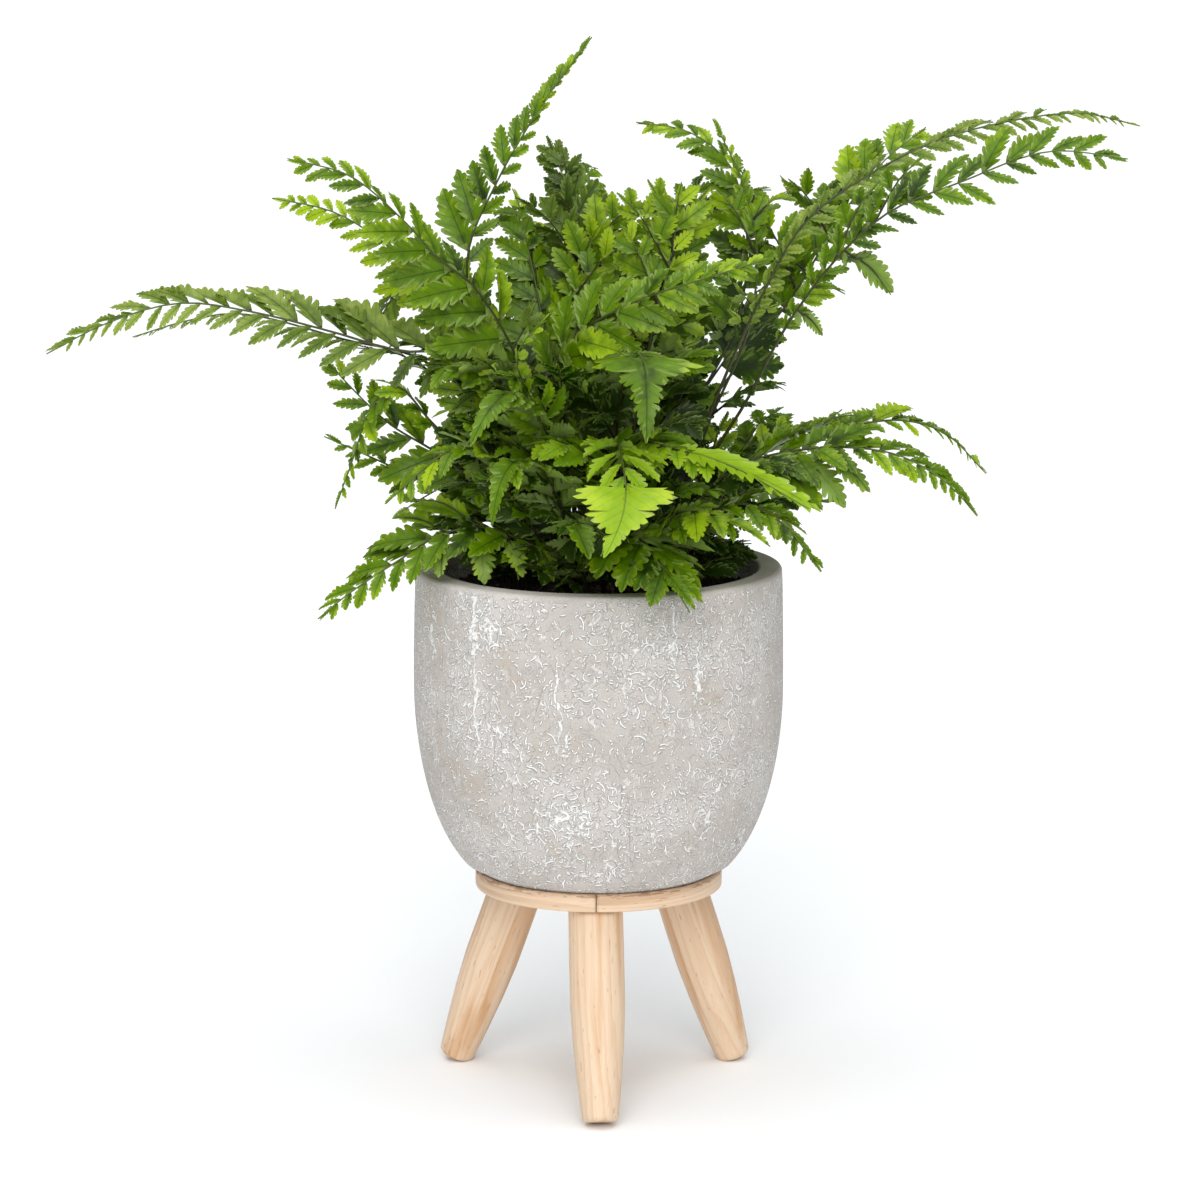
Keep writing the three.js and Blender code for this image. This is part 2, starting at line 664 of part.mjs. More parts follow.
// A leaflet by itself, as a thicker solid that shows whether it would touch something.
function leafletSolid(frond, rib, pair, hand, bend) {
  const skin = new Skin();
  const sides = [pair, pair + 1].map((i) => sideOf(ribCorners(rib, rib.start(i)), hand));
  const [low, high] = sides.map((side) => side.map((place) => skin.put(place)));
  addLeaflet(skin, low, high, leafletShape(frond, rib, pair, hand, bend, CLEAR_BLADE), hand);
  const back = [low[0], low[1], high[1], high[0]];
  skin.quad(...(hand > 0 ? back : back.reverse()));
  return solid(skin.geometry());
}

// A solid that others have to miss, with the box that it fills.
function obstacle(manifold) {
  const { min, max } = manifold.boundingBox();
  return { manifold, box: new THREE.Box3(point(...min), point(...max)) };
}

function touches(one, others) {
  return others.some(
    (other) => one.box.intersectsBox(other.box) && !one.manifold.intersect(other.manifold).isEmpty(),
  );
}

// The ways in which a leaflet is bent and a rib moved aside, in the order they are tried.
const BENDS = [-8, 6, -22, 20, -36, 34].map((turn) => ({ turn, keep: 1 }));
for (const keep of [0.8, 0.6, 0.4, 0.2]) {
  for (const turn of [-8, 14, -30, 36]) BENDS.push({ turn, keep });
}
const ASIDES = [0, 4, -4, 8, -8, 12, -12];

// Sets the fronds clear of each other and of what stands: first the ribs, then the leaflets.
// A leaflet that has no room at all, hard against another stem, is left out.
function settle(fronds, standing) {
  const set = [];
  for (const frond of fronds) {
    const made = (aside) => {
      frond.aside = aside;
      return obstacle(solid(frondGeometry(frond, 2 * CLEAR_BLADE)));
    };
    const aside = ASIDES.find((way) => !touches(made(way), [...set, ...standing]));
    if (aside === undefined) throw new Error(`the rib of ${frond.name} crosses another`);
    set.push(made(aside));
  }
  fronds.forEach((frond, i) => {
    const rib = ribOf(frond);
    const reach = set[i].box.clone().expandByScalar(1.2 * frond.half);
    const others = [...set.filter((_, k) => k !== i), ...standing];
    const near = others.filter(({ box }) => box.intersectsBox(reach));
    const bends = new Map();
    for (let pair = 0; pair < rib.pairs; pair += 1) {
      for (const hand of [1, -1]) {
        const clear = (bend) => !touches(obstacle(leafletSolid(frond, rib, pair, hand, bend)), near);
        bends.set(hand * (pair + 1), BENDS.find(clear));
      }
    }
    frond.bends = bends;
    set[i] = obstacle(solid(frondGeometry(frond, CLEAR_BLADE)));
  });
}

const pot = potSolid();
const soil = soilSolid(FRONDS);
settle(FRONDS, [obstacle(pot), obstacle(soil)]);

function addMesh(group, name, geometry, color, roughness, metalness = 0) {
  const finish = { color, roughness, metalness, flatShading: true };
  const mesh = new THREE.Mesh(geometry, new THREE.MeshStandardMaterial(finish));
  mesh.name = name;
  group.add(mesh);
}

const plant = new THREE.Group();
addMesh(plant, "pot", geometryOf(pot), 0xcdc8c2, 0.9);
addMesh(plant, "soil", geometryOf(soil), 0x2a1f17, 1);
addMesh(plant, "stand_board", geometryOf(boardSolid()), 0xe0be93, 0.7);
addMesh(plant, "stand_band", geometryOf(bandSolid()), 0xdcb98f, 0.65);
for (const leg of LEGS) {
  addMesh(plant, `leg_${leg.name}`, geometryOf(legSolid(leg)), 0xecc9a0, 0.6);
  addMesh(plant, `leg_screw_${leg.name}`, geometryOf(screwSolid(leg)), 0xb0b4b8, 0.35, 1);
}
for (const frond of FRONDS) {
  addMesh(plant, `frond_${frond.name}`, frondGeometry(frond, BLADE), 0x4c7a1e, 0.55);
}

export default plant;
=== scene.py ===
# A fern in a cement pot on a round pine stand: the looks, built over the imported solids.
# Metres, in the solids' frame: the floor is z = 0 and -Y is the front.
import itertools
import json
import math
from functools import partial

import bmesh
import bpy
import numpy as np
from mathutils import Matrix, Vector

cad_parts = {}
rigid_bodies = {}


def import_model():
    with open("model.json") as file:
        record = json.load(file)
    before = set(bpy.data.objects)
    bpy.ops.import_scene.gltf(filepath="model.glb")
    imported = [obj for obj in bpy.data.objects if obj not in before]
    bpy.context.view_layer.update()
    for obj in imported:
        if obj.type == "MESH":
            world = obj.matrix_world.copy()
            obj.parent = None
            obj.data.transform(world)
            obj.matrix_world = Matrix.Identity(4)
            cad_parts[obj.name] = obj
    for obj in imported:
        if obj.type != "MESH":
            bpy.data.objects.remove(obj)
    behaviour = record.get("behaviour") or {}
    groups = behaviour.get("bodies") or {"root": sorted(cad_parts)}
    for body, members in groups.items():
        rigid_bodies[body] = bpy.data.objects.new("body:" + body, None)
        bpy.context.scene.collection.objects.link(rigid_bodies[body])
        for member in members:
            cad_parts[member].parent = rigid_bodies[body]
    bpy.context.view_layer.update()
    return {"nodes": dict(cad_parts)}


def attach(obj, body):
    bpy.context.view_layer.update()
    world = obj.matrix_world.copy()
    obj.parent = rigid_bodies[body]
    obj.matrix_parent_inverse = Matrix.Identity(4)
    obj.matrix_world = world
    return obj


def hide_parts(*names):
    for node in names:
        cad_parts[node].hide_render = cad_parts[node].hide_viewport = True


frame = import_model()


# The pot. A light cement casting with a straight wall over a rounded bowl, about 166 mm
# across. Its outside carries the fine raised, chalky squiggles of a rough mould coat, and the
# rim is rubbed smooth.
POT_BASE, POT_BOWL_TOP, POT_RIM = 0.1013, 0.186, 0.240
POT_RADIUS, POT_FOOT, POT_WALL, POT_FLOOR = 0.0833, 0.0545, 0.0106, 0.012
FOOT_ROUND, RIM_ROUND, MOUTH_ROUND = 0.0012, 0.0019, 0.0016
RIM_DRAW, BOWL_DEPTH, BOWL_INSET, SWELL, POT_SIDES = 0.0008, 0.09, 0.04, 0.0016, 192


def smooth_mesh(name, verts, faces):
    mesh = bpy.data.meshes.new(name)
    mesh.from_pydata(verts, [], faces)
    mesh.shade_smooth()
    return mesh


def polar(radius, turn, height):
    return radius * math.cos(turn), radius * math.sin(turn), height


def turned_mesh(name, profile, sides):
    """A round closed mesh about Z. The profile's points are (radius, height), from the middle
    of the underside up the outside to the middle of the top."""
    turn = np.linspace(0, 2 * math.pi, sides, endpoint=False)
    verts = [(0, 0, profile[0][1])]
    for radius, height in profile[1:-1]:
        verts += [polar(radius, a, height) for a in turn]
    verts.append((0, 0, profile[-1][1]))
    last = len(verts) - 1
    rings = len(profile) - 2
    faces = []
    for k in range(sides):
        following = (k + 1) % sides
        faces.append((0, 1 + following, 1 + k))
        for ring in range(rings - 1):
            low, high = 1 + ring * sides, 1 + (ring + 1) * sides
            faces.append((low + k, low + following, high + following, high + k))
        top = 1 + (rings - 1) * sides
        faces.append((top + k, top + following, last))
    return smooth_mesh(name, verts, faces)


def add_object(name, data):
    made = bpy.data.objects.new(name, data)
    bpy.context.scene.collection.objects.link(made)
    return made


def add_piece(name, mesh, node, finish=None):
    """Puts a mesh in the scene, in place of a solid of the frame."""
    piece = add_object(name, mesh)
    if finish:
        mesh.materials.append(finish)
    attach(piece, "root")
    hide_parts(node)


def pot_radius(z):
    if z >= POT_BOWL_TOP:
        return POT_RADIUS - RIM_DRAW * ((z - POT_BOWL_TOP) / (POT_RIM - POT_BOWL_TOP)) ** 2
    fall = (POT_BOWL_TOP - z) / BOWL_DEPTH
    return POT_RADIUS - BOWL_INSET * (1 - math.sqrt(max(0, 1 - fall * fall)))


def corner(middle, radius, start, stop, steps=6):
    """A rounded corner of a profile, from one compass to another, in degrees."""
    turns = [math.radians(start + (stop - start) * i / steps) for i in range(steps + 1)]
    return [(middle[0] + radius * math.cos(a), middle[1] + radius * math.sin(a)) for a in turns]


rim, inside = pot_radius(POT_RIM), POT_BASE + POT_FLOOR
pot_profile = [(0, POT_BASE), (0.03, POT_BASE)]
pot_profile += corner((POT_FOOT - FOOT_ROUND, POT_BASE + FOOT_ROUND), FOOT_ROUND, -90, -20, 4)
pot_profile += [(pot_radius(z), z) for z in np.linspace(POT_BASE + 0.004, POT_RIM - 0.003, 70)]
pot_profile += corner((rim - RIM_ROUND, POT_RIM - RIM_ROUND), RIM_ROUND, 10, 90)
pot_profile += corner((rim - POT_WALL + MOUTH_ROUND, POT_RIM - MOUTH_ROUND), MOUTH_ROUND, 90, 175)
pot_profile += [(pot_radius(z) - POT_WALL, z) for z in np.linspace(POT_RIM - 0.005, inside, 24)]
pot_profile += [(0.02, inside), (0, inside)]
pot_mesh = turned_mesh("pot_casting", pot_profile, POT_SIDES)
spots = np.empty(len(pot_mesh.vertices) * 3)
pot_mesh.vertices.foreach_get("co", spots)
spots = spots.reshape(-1, 3)
swell = np.sin(spots[:, 0] * 61 + 1) * np.sin(spots[:, 2] * 74) + np.cos(spots[:, 1] * 83 + 2)
spots[:, :2] *= 1 + SWELL * swell[:, None] * (spots[:, 2:] < POT_RIM - 0.001)
pot_mesh.vertices.foreach_set("co", spots.ravel())


def node(tree, kind, inputs=(), **settings):
    """Adds a node to a tree. inputs pairs a socket's name or number with a value or a link."""
    made = tree.nodes.new(kind)
    for name, value in settings.items():
        setattr(made, name, value)
    for socket, value in dict(inputs).items():
        if isinstance(value, bpy.types.NodeSocket):
            tree.links.new(value, made.inputs[socket])
        else:
            made.inputs[socket].default_value = value
    return made


def tree_of(values):
    """The node tree of the first link among some values."""
    return next(value.id_data for value in values if isinstance(value, bpy.types.NodeSocket))


def maths(operation, *values):
    made = node(tree_of(values), "ShaderNodeMath", enumerate(values), operation=operation)
    return made.outputs[0]


plus, minus, times = partial(maths, "ADD"), partial(maths, "SUBTRACT"), partial(maths, "MULTIPLY")
most, positive = partial(maths, "MAXIMUM"), partial(maths, "ABSOLUTE")


def vectors(operation, *values):
    made = node(tree_of(values), "ShaderNodeVectorMath", enumerate(values), operation=operation)
    return made.outputs["Value" if operation in ("DOT_PRODUCT", "LENGTH") else 0]


def scaled(vector, share):
    inputs = {0: vector, "Scale": share}
    return node(vector.id_data, "ShaderNodeVectorMath", inputs, operation="SCALE").outputs[0]


def mapped(place, scale, turned=(0, 0, 0)):
    inputs = {"Vector": place, "Rotation": turned, "Scale": scale}
    return node(place.id_data, "ShaderNodeMapping", inputs).outputs[0]


def axes(vector):
    return node(vector.id_data, "ShaderNodeSeparateXYZ", {0: vector}).outputs


def ramp(value, low, high, start=0.0, stop=1.0):
    """A smooth step of value, from start at low to stop at high."""
    inputs = enumerate((value, low, high, start, stop))
    made = node(value.id_data, "ShaderNodeMapRange", inputs, interpolation_type="SMOOTHSTEP")
    return made.outputs[0]


def noise(place, scale, detail=2.0, rough=0.5, warp=0.0):
    inputs = {"Vector": place, "Scale": scale, "Detail": detail, "Roughness": rough}
    inputs["Distortion"] = warp
    return node(place.id_data, "ShaderNodeTexNoise", inputs).outputs["Fac"]


def layered(colour, *layers):
    """A colour with others laid over it, each given as its share and its colour."""
    for share, over in layers:
        inputs = {0: share, 6: colour, 7: over}
        colour = node(share.id_data, "ShaderNodeMix", inputs, data_type="RGBA").outputs[2]
    return colour


def tint(red, green, blue):
    """A colour from its sRGB parts, 0 to 255."""
    parts = [c / 255 for c in (red, green, blue)]
    return [c / 12.92 if c <= 0.04045 else ((c + 0.055) / 1.055) ** 2.4 for c in parts] + [1]


def group(kind, name, inputs, outputs):
    """A node group. inputs and outputs pair each socket's name with its kind. Returns the
    group, the links of its inputs and the sockets that it gives."""
    tree = bpy.data.node_groups.new(name, f"{kind}NodeTree")
    for way, sockets in (("INPUT", inputs), ("OUTPUT", outputs)):
        for title, socket in sockets.items():
            tree.interface.new_socket(title, in_out=way, socket_type=f"NodeSocket{socket}")
    return tree, tree.nodes.new("NodeGroupInput").outputs, tree.nodes.new("NodeGroupOutput").inputs


def give(wanted, **values):
    """Links what a node group gives to its outputs, by their names."""
    for title, value in values.items():
        value.id_data.links.new(value, wanted[title])


def placed(made, **inputs):
    """A node group placed in the tree that its inputs come from."""
    return node(tree_of(inputs.values()), "ShaderNodeGroup", inputs, node_tree=made).outputs


def new_finish(name, **settings):
    """A material, its shader and the object's coordinates in millimetres."""
    finish = bpy.data.materials.new(name)
    finish.use_nodes = True
    shader = finish.node_tree.nodes["Principled BSDF"]
    for title, value in settings.items():
        shader.inputs[title.replace("_", " ")].default_value = value
    place = node(finish.node_tree, "ShaderNodeTexCoord").outputs["Object"]
    return finish, shader, mapped(place, (1000, 1000, 1000))


def feed(shader, colour, roughness=None, height=None, depth=0.0, strength=1.0):
    """Links a finish's changing colour, roughness and relief to its shader."""
    links = {"Base Color": colour, "Roughness": roughness}
    if height is not None:
        relief = {"Height": height, "Distance": depth, "Strength": strength}
        links["Normal"] = node(shader.id_data, "ShaderNodeBump", relief).outputs["Normal"]
    for title, value in links.items():
        if value is not None:
            shader.id_data.links.new(value, shader.inputs[title])


# A mask of fine wandering ridges: the lines where a warped noise crosses its middle, broken
# up by a slower noise.
squiggles, given, wanted = group(
    "Shader", "raised squiggles",
    {"Place": "Vector", "Size": "Float", "Width": "Float", "Cover": "Float"}, {"Mask": "Float"}
)
fine = maths("DIVIDE", 1.0, given["Size"])
bent = noise(given["Place"], fine, 1.5, 0.5, 1.1)
line = ramp(positive(minus(bent, 0.5)), 0.0, given["Width"], 1.0, 0.0)
slow = noise(given["Place"], times(fine, 0.63), 1.0)
edge = minus(1.0, given["Cover"])
give(wanted, Mask=times(line, ramp(slow, minus(edge, 0.05), edge)))

# A mask of short raised strokes and dots: each cell of a Voronoi pattern holds one stroke with
# its own turn, length and bend, laid in the wall's own directions. Shade is a painted shadow:
# the strip just below each stroke, darkened in the cement's colour as if lit from above.
strokes, given, wanted = group(
    "Shader", "raised strokes",
    {"Place": "Vector", "Cell": "Float", "Length": "Float", "Width": "Float", "Cover": "Float"},
    {"Mask": "Float", "Shade": "Float"}
)
cells = node(strokes, "ShaderNodeTexVoronoi", {
    "Vector": given["Place"], "Scale": maths("DIVIDE", 1.0, given["Cell"]),
}).outputs
away = vectors("SUBTRACT", given["Place"], cells["Position"])
round_pot = vectors("NORMALIZE", vectors("CROSS_PRODUCT", (0, 0, 1), given["Place"]))
sideways, upwards = vectors("DOT_PRODUCT", away, round_pot), axes(away)["Z"]
turns, covers, bends = node(strokes, "ShaderNodeSeparateColor", {0: cells["Color"]}).outputs
turn = times(turns, 2 * math.pi)
cosine, sine = maths("COSINE", turn), maths("SINE", turn)
along = plus(times(sideways, cosine), times(upwards, sine))
across = minus(times(upwards, cosine), times(sideways, sine))
across = plus(across, times(minus(bends, 0.5), times(along, along)))
below = plus(across, times(given["Width"], cosine))
core = times(given["Width"], 0.45)
body, below = (ramp(positive(off), core, given["Width"], 1, 0) for off in (across, below))
reach = times(plus(maths("FRACT", times(bends, 5.0)), 0.15), given["Length"])
there = times(
    maths("LESS_THAN", covers, given["Cover"]), ramp(minus(positive(along), reach), 0.0, 0.25, 1, 0)
)
give(wanted, Mask=times(body, there), Shade=times(most(minus(below, body), 0.0), there))

# A mask of one drip or blotch: an ellipsoid about its middle with a ragged edge.
drip, given, wanted = group(
    "Shader", "white drip",
    {"Place": "Vector", "Middle": "Vector", "Size": "Vector", "Ragged": "Float"}, {"Mask": "Float"}
)
away = vectors("DIVIDE", vectors("SUBTRACT", given["Place"], given["Middle"]), given["Size"])
give(wanted, Mask=ramp(plus(vectors("LENGTH", away), given["Ragged"]), 0.85, 1.05, 1.0, 0.0))

cement, shader, place = new_finish("cement", Roughness=0.85, Specular_IOR_Level=0.3)
dense = ramp(noise(place, 0.03), 0.36, 0.62, 0.3, 0.72)
fine = placed(strokes, Place=place, Cell=2.2, Length=0.95, Width=0.5, Cover=dense)
bold = placed(strokes, Place=place, Cell=5.5, Length=3.0, Width=0.5, Cover=times(dense, 0.7))
lines = placed(squiggles, Place=place, Size=5.0, Width=0.045, Cover=0.55)["Mask"]
upright = mapped(place, (1, 1, 0.2))
runs = placed(squiggles, Place=upright, Size=14.0, Width=0.009, Cover=0.42)["Mask"]
marks = most(most(times(fine["Mask"], 0.85), bold["Mask"]), times(lines, dense))
marks = most(marks, runs)
DRIP_STRAY = 11.0
stray = node(place.id_data, "ShaderNodeTexNoise", {"Vector": place, "Scale": 0.12, "Detail": 2.0})
strayed = vectors("ADD", place, scaled(stray.outputs["Color"], DRIP_STRAY))
ragged = ramp(noise(place, 0.45), 0.3, 0.7, -0.6, 0.6)
worn = ramp(noise(place, 0.9, 1.0), 0.32, 0.5, 0.3, 0.75)
net = placed(squiggles, Place=place, Size=4.0, Width=0.13, Cover=1.0)["Mask"]
for x, z, half_width, half_height, torn in (
    (-55, 228, 1.1, 15, 0.7), (-54, 192, 0.75, 30, 0.4), (-48, 222, 4.5, 9, 1.2),
    (-17, 196, 0.7, 24, 0.4), (-14, 178, 0.8, 9, 1.0), (32.5, 224, 0.9, 15, 0.6),
    (43, 200, 1.2, 10, 1.1), (-12, 141, 11, 4.2, 0.9), (-10, 133, 4.2, 9, 1.0),
    (-27, 136, 0.9, 7, 0.9), (64, 122, 0.8, 11, 0.7), (-74, 214, 0.9, 12, 0.8),
):
    middle = (x + DRIP_STRAY / 2, -65, z + DRIP_STRAY / 2)
    size = (half_width, 60, half_height)
    one = placed(drip, Place=strayed, Middle=middle, Size=size, Ragged=times(ragged, torn))["Mask"]
    marks = most(marks, times(one, worn if half_width < 2 else net))
coat = ramp(axes(place)["Z"], 239.2, 237.0)
marks = times(marks, coat)
grit = noise(place, 1.4, 3.0, 0.7)
colour = layered(
    tint(193, 186, 179),
    (ramp(noise(place, 0.03, 3.0, 0.6), 0.3, 0.7), tint(212, 206, 200)),
    (ramp(noise(place, 0.05, 2.0, 0.5, 0.4), 0.58, 0.72, 0.0, 0.4), tint(192, 176, 158)),
    (ramp(grit, 0.35, 0.75, 0.0, 0.4), tint(148, 141, 135)),
    # painted shadow: the strip just below each raised stroke, darkened
    (times(times(most(fine["Shade"], bold["Shade"]), coat), 0.45), tint(132, 127, 122)),
    (marks, tint(254, 253, 251)),
)
feed(shader, colour, None, plus(marks, times(grit, 0.35)), 0.0009)
add_piece("pot_casting", pot_mesh, "pot", cement)


# The stand's board. A round of pine 8 mm thick that carries the pot. Its three screw heads
# are sunk under the pot.
BOARD_BOTTOM, BOARD_TOP = 0.093, 0.101

# Straight pine grain: growth rings about a pith off to one side, fibres along the local Z,
# and short brown flecks.
pine, given, wanted = group(
    "Shader", "pine grain", {"Place": "Vector", "Ring": "Float", "Pith": "Vector"},
    {"Grain": "Float", "Fibre": "Float", "Fleck": "Float", "Streak": "Float"}
)
drawn = mapped(vectors("ADD", given["Place"], given["Pith"]), (1, 1, 0.045))
squares = [maths("POWER", axes(drawn)[title], 2.0) for title in "XY"]
away = plus(maths("SQRT", plus(*squares)), times(noise(drawn, 0.11, 1.5), 9.0))
turn = maths("FRACT", maths("DIVIDE", away, given["Ring"]))
thin = mapped(given["Place"], (1.1, 1.1, 0.16))
give(
    wanted, Grain=times(ramp(turn, 0.35, 0.93), ramp(turn, 0.94, 1.0, 1.0, 0.0)),
    Fibre=noise(drawn, 1.7, 3.0, 0.65), Streak=ramp(noise(drawn, 0.15, 1.0), 0.5, 0.66),
    Fleck=ramp(noise(thin, 0.9, 1.0), 0.69, 0.76)
)


def stored(place, name, output="Fac"):
    """A piece's own attribute, for the material that place belongs to."""
    return node(place.id_data, "ShaderNodeAttribute", attribute_name=name).outputs[output]


def pine_finish(name, light, dark, turned=None, bruised=None, **grain):
    """Bare sanded pine. It lies in the timber as the piece's grain attribute says, or as the
    piece itself does after a turn. bruised is where brown scuffs begin and end, in
    millimetres."""
    finish, shader, place = new_finish(name)
    place = mapped(place, (1, 1, 1), turned) if turned else stored(place, "grain", "Vector")
    grown = placed(pine, Place=place, **grain)
    share = plus(times(grown["Grain"], 0.28), times(ramp(grown["Fibre"], 0.3, 0.72), 0.22))
    share = plus(share, times(grown["Streak"], 0.55))
    colour = layered(light, (share, dark), (times(grown["Fleck"], 0.55), tint(164, 112, 72)))
    if bruised:
        scuff = ramp(noise(mapped(place, (0.1, 1.1, 0.2)), 1.0), 0.5, 0.62)
        scuff = times(scuff, ramp(axes(place)["Y"], *bruised))
        colour = layered(colour, (times(scuff, 0.6), tint(134, 90, 56)))
    rough = ramp(grown["Grain"], 0.0, 1.0, 0.58, 0.46)
    feed(shader, colour, rough, times(share, -1.0), 0.0001, 0.5)
    return finish


def dress(title, finish):
    """Gives a solid of the frame a finish. Its shape stays as it is."""
    materials = frame["nodes"][title].data.materials
    materials.clear()
    materials.append(finish)


dress("stand_board", pine_finish(
    "board_pine", tint(232, 205, 174), tint(202, 166, 128), (0, math.radians(90), 0),
    Ring=3.4, Pith=(26.0, 9.0, 0.0)
))


# The band. A pine strip 3 mm thick, bent round the board's edge and glued, with eased edges
# and a butt joint at the front.
BAND_RADIUS, BAND_THICKNESS, BAND_JOINT, BAND_JOINT_X = 0.056, 0.0032, 0.0005, -0.0011
TOP_EASE, INSIDE_EASE, BOTTOM_EASE = 0.0015, 0.0004, 0.0009


def store(mesh, title, kind, values, domain="POINT"):
    """Stores a value of its own for each point, edge or face of a mesh."""
    field = "vector" if kind == "FLOAT_VECTOR" else "value"
    mesh.attributes.new(title, kind, domain).data.foreach_set(field, np.array(values).ravel())


def band_mesh():
    """The bent strip. Its grain is where each corner lies in the timber, in millimetres."""
    middle = -math.pi / 2 + BAND_JOINT_X / BAND_RADIUS
    half = BAND_JOINT / 2 / BAND_RADIUS
    inside = BAND_RADIUS - BAND_THICKNESS
    ring = corner((BAND_RADIUS - TOP_EASE, BOARD_TOP - TOP_EASE), TOP_EASE, 0, 90, 4)
    ring += corner((inside + INSIDE_EASE, BOARD_TOP - INSIDE_EASE), INSIDE_EASE, 90, 180, 2)
    ring += [(inside, BOARD_BOTTOM)]
    ring += corner(
        (BAND_RADIUS - BOTTOM_EASE, BOARD_BOTTOM + BOTTOM_EASE), BOTTOM_EASE, -90, 0, 4
    )
    turns = np.linspace(middle + half, middle + 2 * math.pi - half, 180)
    verts, grain, faces = [], [], []
    for turn in turns:
        for radius, z in ring:
            verts.append(polar(radius, turn, z))
            grain.append((radius * 1000, z * 1000, turn * BAND_RADIUS * 1000))
    count = len(ring)
    for step in range(len(turns) - 1):
        for i in range(count):
            low, high = step * count, (step + 1) * count
            faces.append((low + i, high + i, high + (i + 1) % count, low + (i + 1) % count))
    faces.append(tuple(range(count)))
    faces.append(tuple(range(len(verts) - 1, len(verts) - count - 1, -1)))
    mesh = smooth_mesh("bent_band", verts, faces)
    store(mesh, "grain", "FLOAT_VECTOR", grain)
    return mesh


band_pine = pine_finish(
    "band_pine", tint(231, 203, 173), tint(190, 152, 116), bruised=(98.4, 100.2),
    Ring=1.9, Pith=(-20.0, -70.0, 0.0)
)
add_piece("bent_band", band_mesh(), "stand_band", band_pine)


# The legs. Three tapered dowels of pine, turned on a lathe, splayed, and cut level under the
# board. Their feet are eased.
LEG_TOP_RADIUS, LEG_END_RADIUS, LEG_WEAR, LEG_GAP, LEG_SIDES = 0.0405, 0.0079, 0.00045, 0.0003, 56
LEG_GIRTH = ((0.0, 12.2), (0.25, 12.3), (0.46, 12.3), (0.64, 11.4), (0.82, 9.9), (0.97, 8.3))
LEG_FOOT = ((0.988, 0.0003), (0.996, 0.0009), (1, 0.0019))
LEGS = {
    "front": (-92, -89.4, 74.5, (24.0, 10.0, 0.0)),
    "back_left": (150, 151, 75.8, (-17.0, 16.0, 30.0)),
    "back_right": (30, 31, 72.9, (10.0, -26.0, 70.0)),
}


def leg_mesh(name, top_turn, foot_turn, reach):
    """A leg between two compasses, in degrees, at its top and its foot. Its foot reaches out
    by reach, in millimetres."""
    top_turn, foot_turn, reach = math.radians(top_turn), math.radians(foot_turn), reach / 1000
    top = Vector(polar(LEG_TOP_RADIUS, top_turn, BOARD_BOTTOM))
    lean = math.atan2(reach - LEG_TOP_RADIUS, BOARD_BOTTOM)
    foot = Vector(polar(reach, foot_turn, LEG_END_RADIUS * math.sin(lean) - LEG_WEAR))
    down = foot - top
    length = down.length
    frame_of_leg = Vector((0, 0, 1)).rotation_difference(down.normalized()).to_matrix()
    shares, girths = zip(*LEG_GIRTH)
    profile = [(np.interp(s, shares, girths) / 1000, s * length) for s in np.linspace(0, 0.97, 26)]
    last = profile[-1][0]
    profile += [(last - cut, share * length) for share, cut in LEG_FOOT]
    ceiling, down = BOARD_BOTTOM - LEG_GAP, down.normalized()
    verts, grain, faces = [], [], []
    for step, (radius, along) in enumerate(profile):
        for k in range(LEG_SIDES):
            local = Vector(polar(radius, 2 * math.pi * k / LEG_SIDES, along))
            spot = top + frame_of_leg @ local
            if step == 0 or spot.z > ceiling:
                rise = (ceiling - spot.z) / down.z
                spot += down * rise
                local.z += rise
            spot.z = max(spot.z, 0)
            verts.append(spot)
            grain.append(local * 1000)
    start = len(verts) - LEG_SIDES
    for low in range(0, start, LEG_SIDES):
        for k in range(LEG_SIDES):
            high, following = low + LEG_SIDES, (k + 1) % LEG_SIDES
            faces.append((low + k, low + following, high + following, high + k))
    faces.append(tuple(range(LEG_SIDES - 1, -1, -1)))
    faces.append(tuple(range(start, len(verts))))
    mesh = smooth_mesh(name, verts, faces)
    store(mesh, "grain", "FLOAT_VECTOR", grain)
    return mesh


for name, (*turns, pith) in LEGS.items():
    leg_pine = pine_finish(
        f"leg_pine_{name}", tint(228, 203, 175), tint(202, 157, 113), Ring=3.1, Pith=pith
    )
    add_piece(f"turned_leg_{name}", leg_mesh(name, *turns), f"leg_{name}", leg_pine)


# The screws. One countersunk wood screw for each leg, of bright zinc-plated steel. They are
# the solids themselves, with a drawn finish.
zinc, shader, place = new_finish("zinc_steel", Metallic=1.0)
mottle = noise(mapped(place, (1, 1, 0.1)), 1.5)
colour = layered(tint(190, 194, 198), (mottle, tint(214, 216, 218)))
feed(shader, colour, ramp(mottle, 0.3, 0.7, 0.25, 0.42))
for name in LEGS:
    dress(f"leg_screw_{name}", zinc)


# The soil. Dark, damp potting compost that fills the pot to just under its rim, crumbly on
# top, with bits of bark.
SOIL_TOP, SOIL_RADIUS, SOIL_GAP, SOIL_INSET = 0.228, 0.0715, 0.0003, 0.0006


def soil_height(x, y):
    heave = 0.0012 * math.sin(x * 110 + 1) * math.cos(y * 130)
    crumbs = math.sin(x * 900 + 2 * math.sin(y * 700)) * math.sin(y * 860 + 2 * math.sin(x * 640))
    return SOIL_TOP + heave + 0.0007 * crumbs


def soil_mesh():
    rings = np.linspace(0.002, SOIL_RADIUS, 42)
    heights = np.linspace(POT_BASE + POT_FLOOR + SOIL_GAP, SOIL_TOP, 14)
    profile = [(0, heights[0])]
    walls = [pot_radius(z) - POT_WALL - SOIL_INSET for z in heights]
    profile += [(min(SOIL_RADIUS, wall), z) for wall, z in zip(walls[:-1], heights)]
    profile += [(radius, SOIL_TOP) for radius in rings[::-1]]
    profile.append((0, SOIL_TOP))
    mesh = turned_mesh("potting_soil", profile, 96)
    for vertex in mesh.vertices:
        if vertex.co.z > SOIL_TOP - 0.0001:
            vertex.co.z = soil_height(vertex.co.x, vertex.co.y)
    return mesh


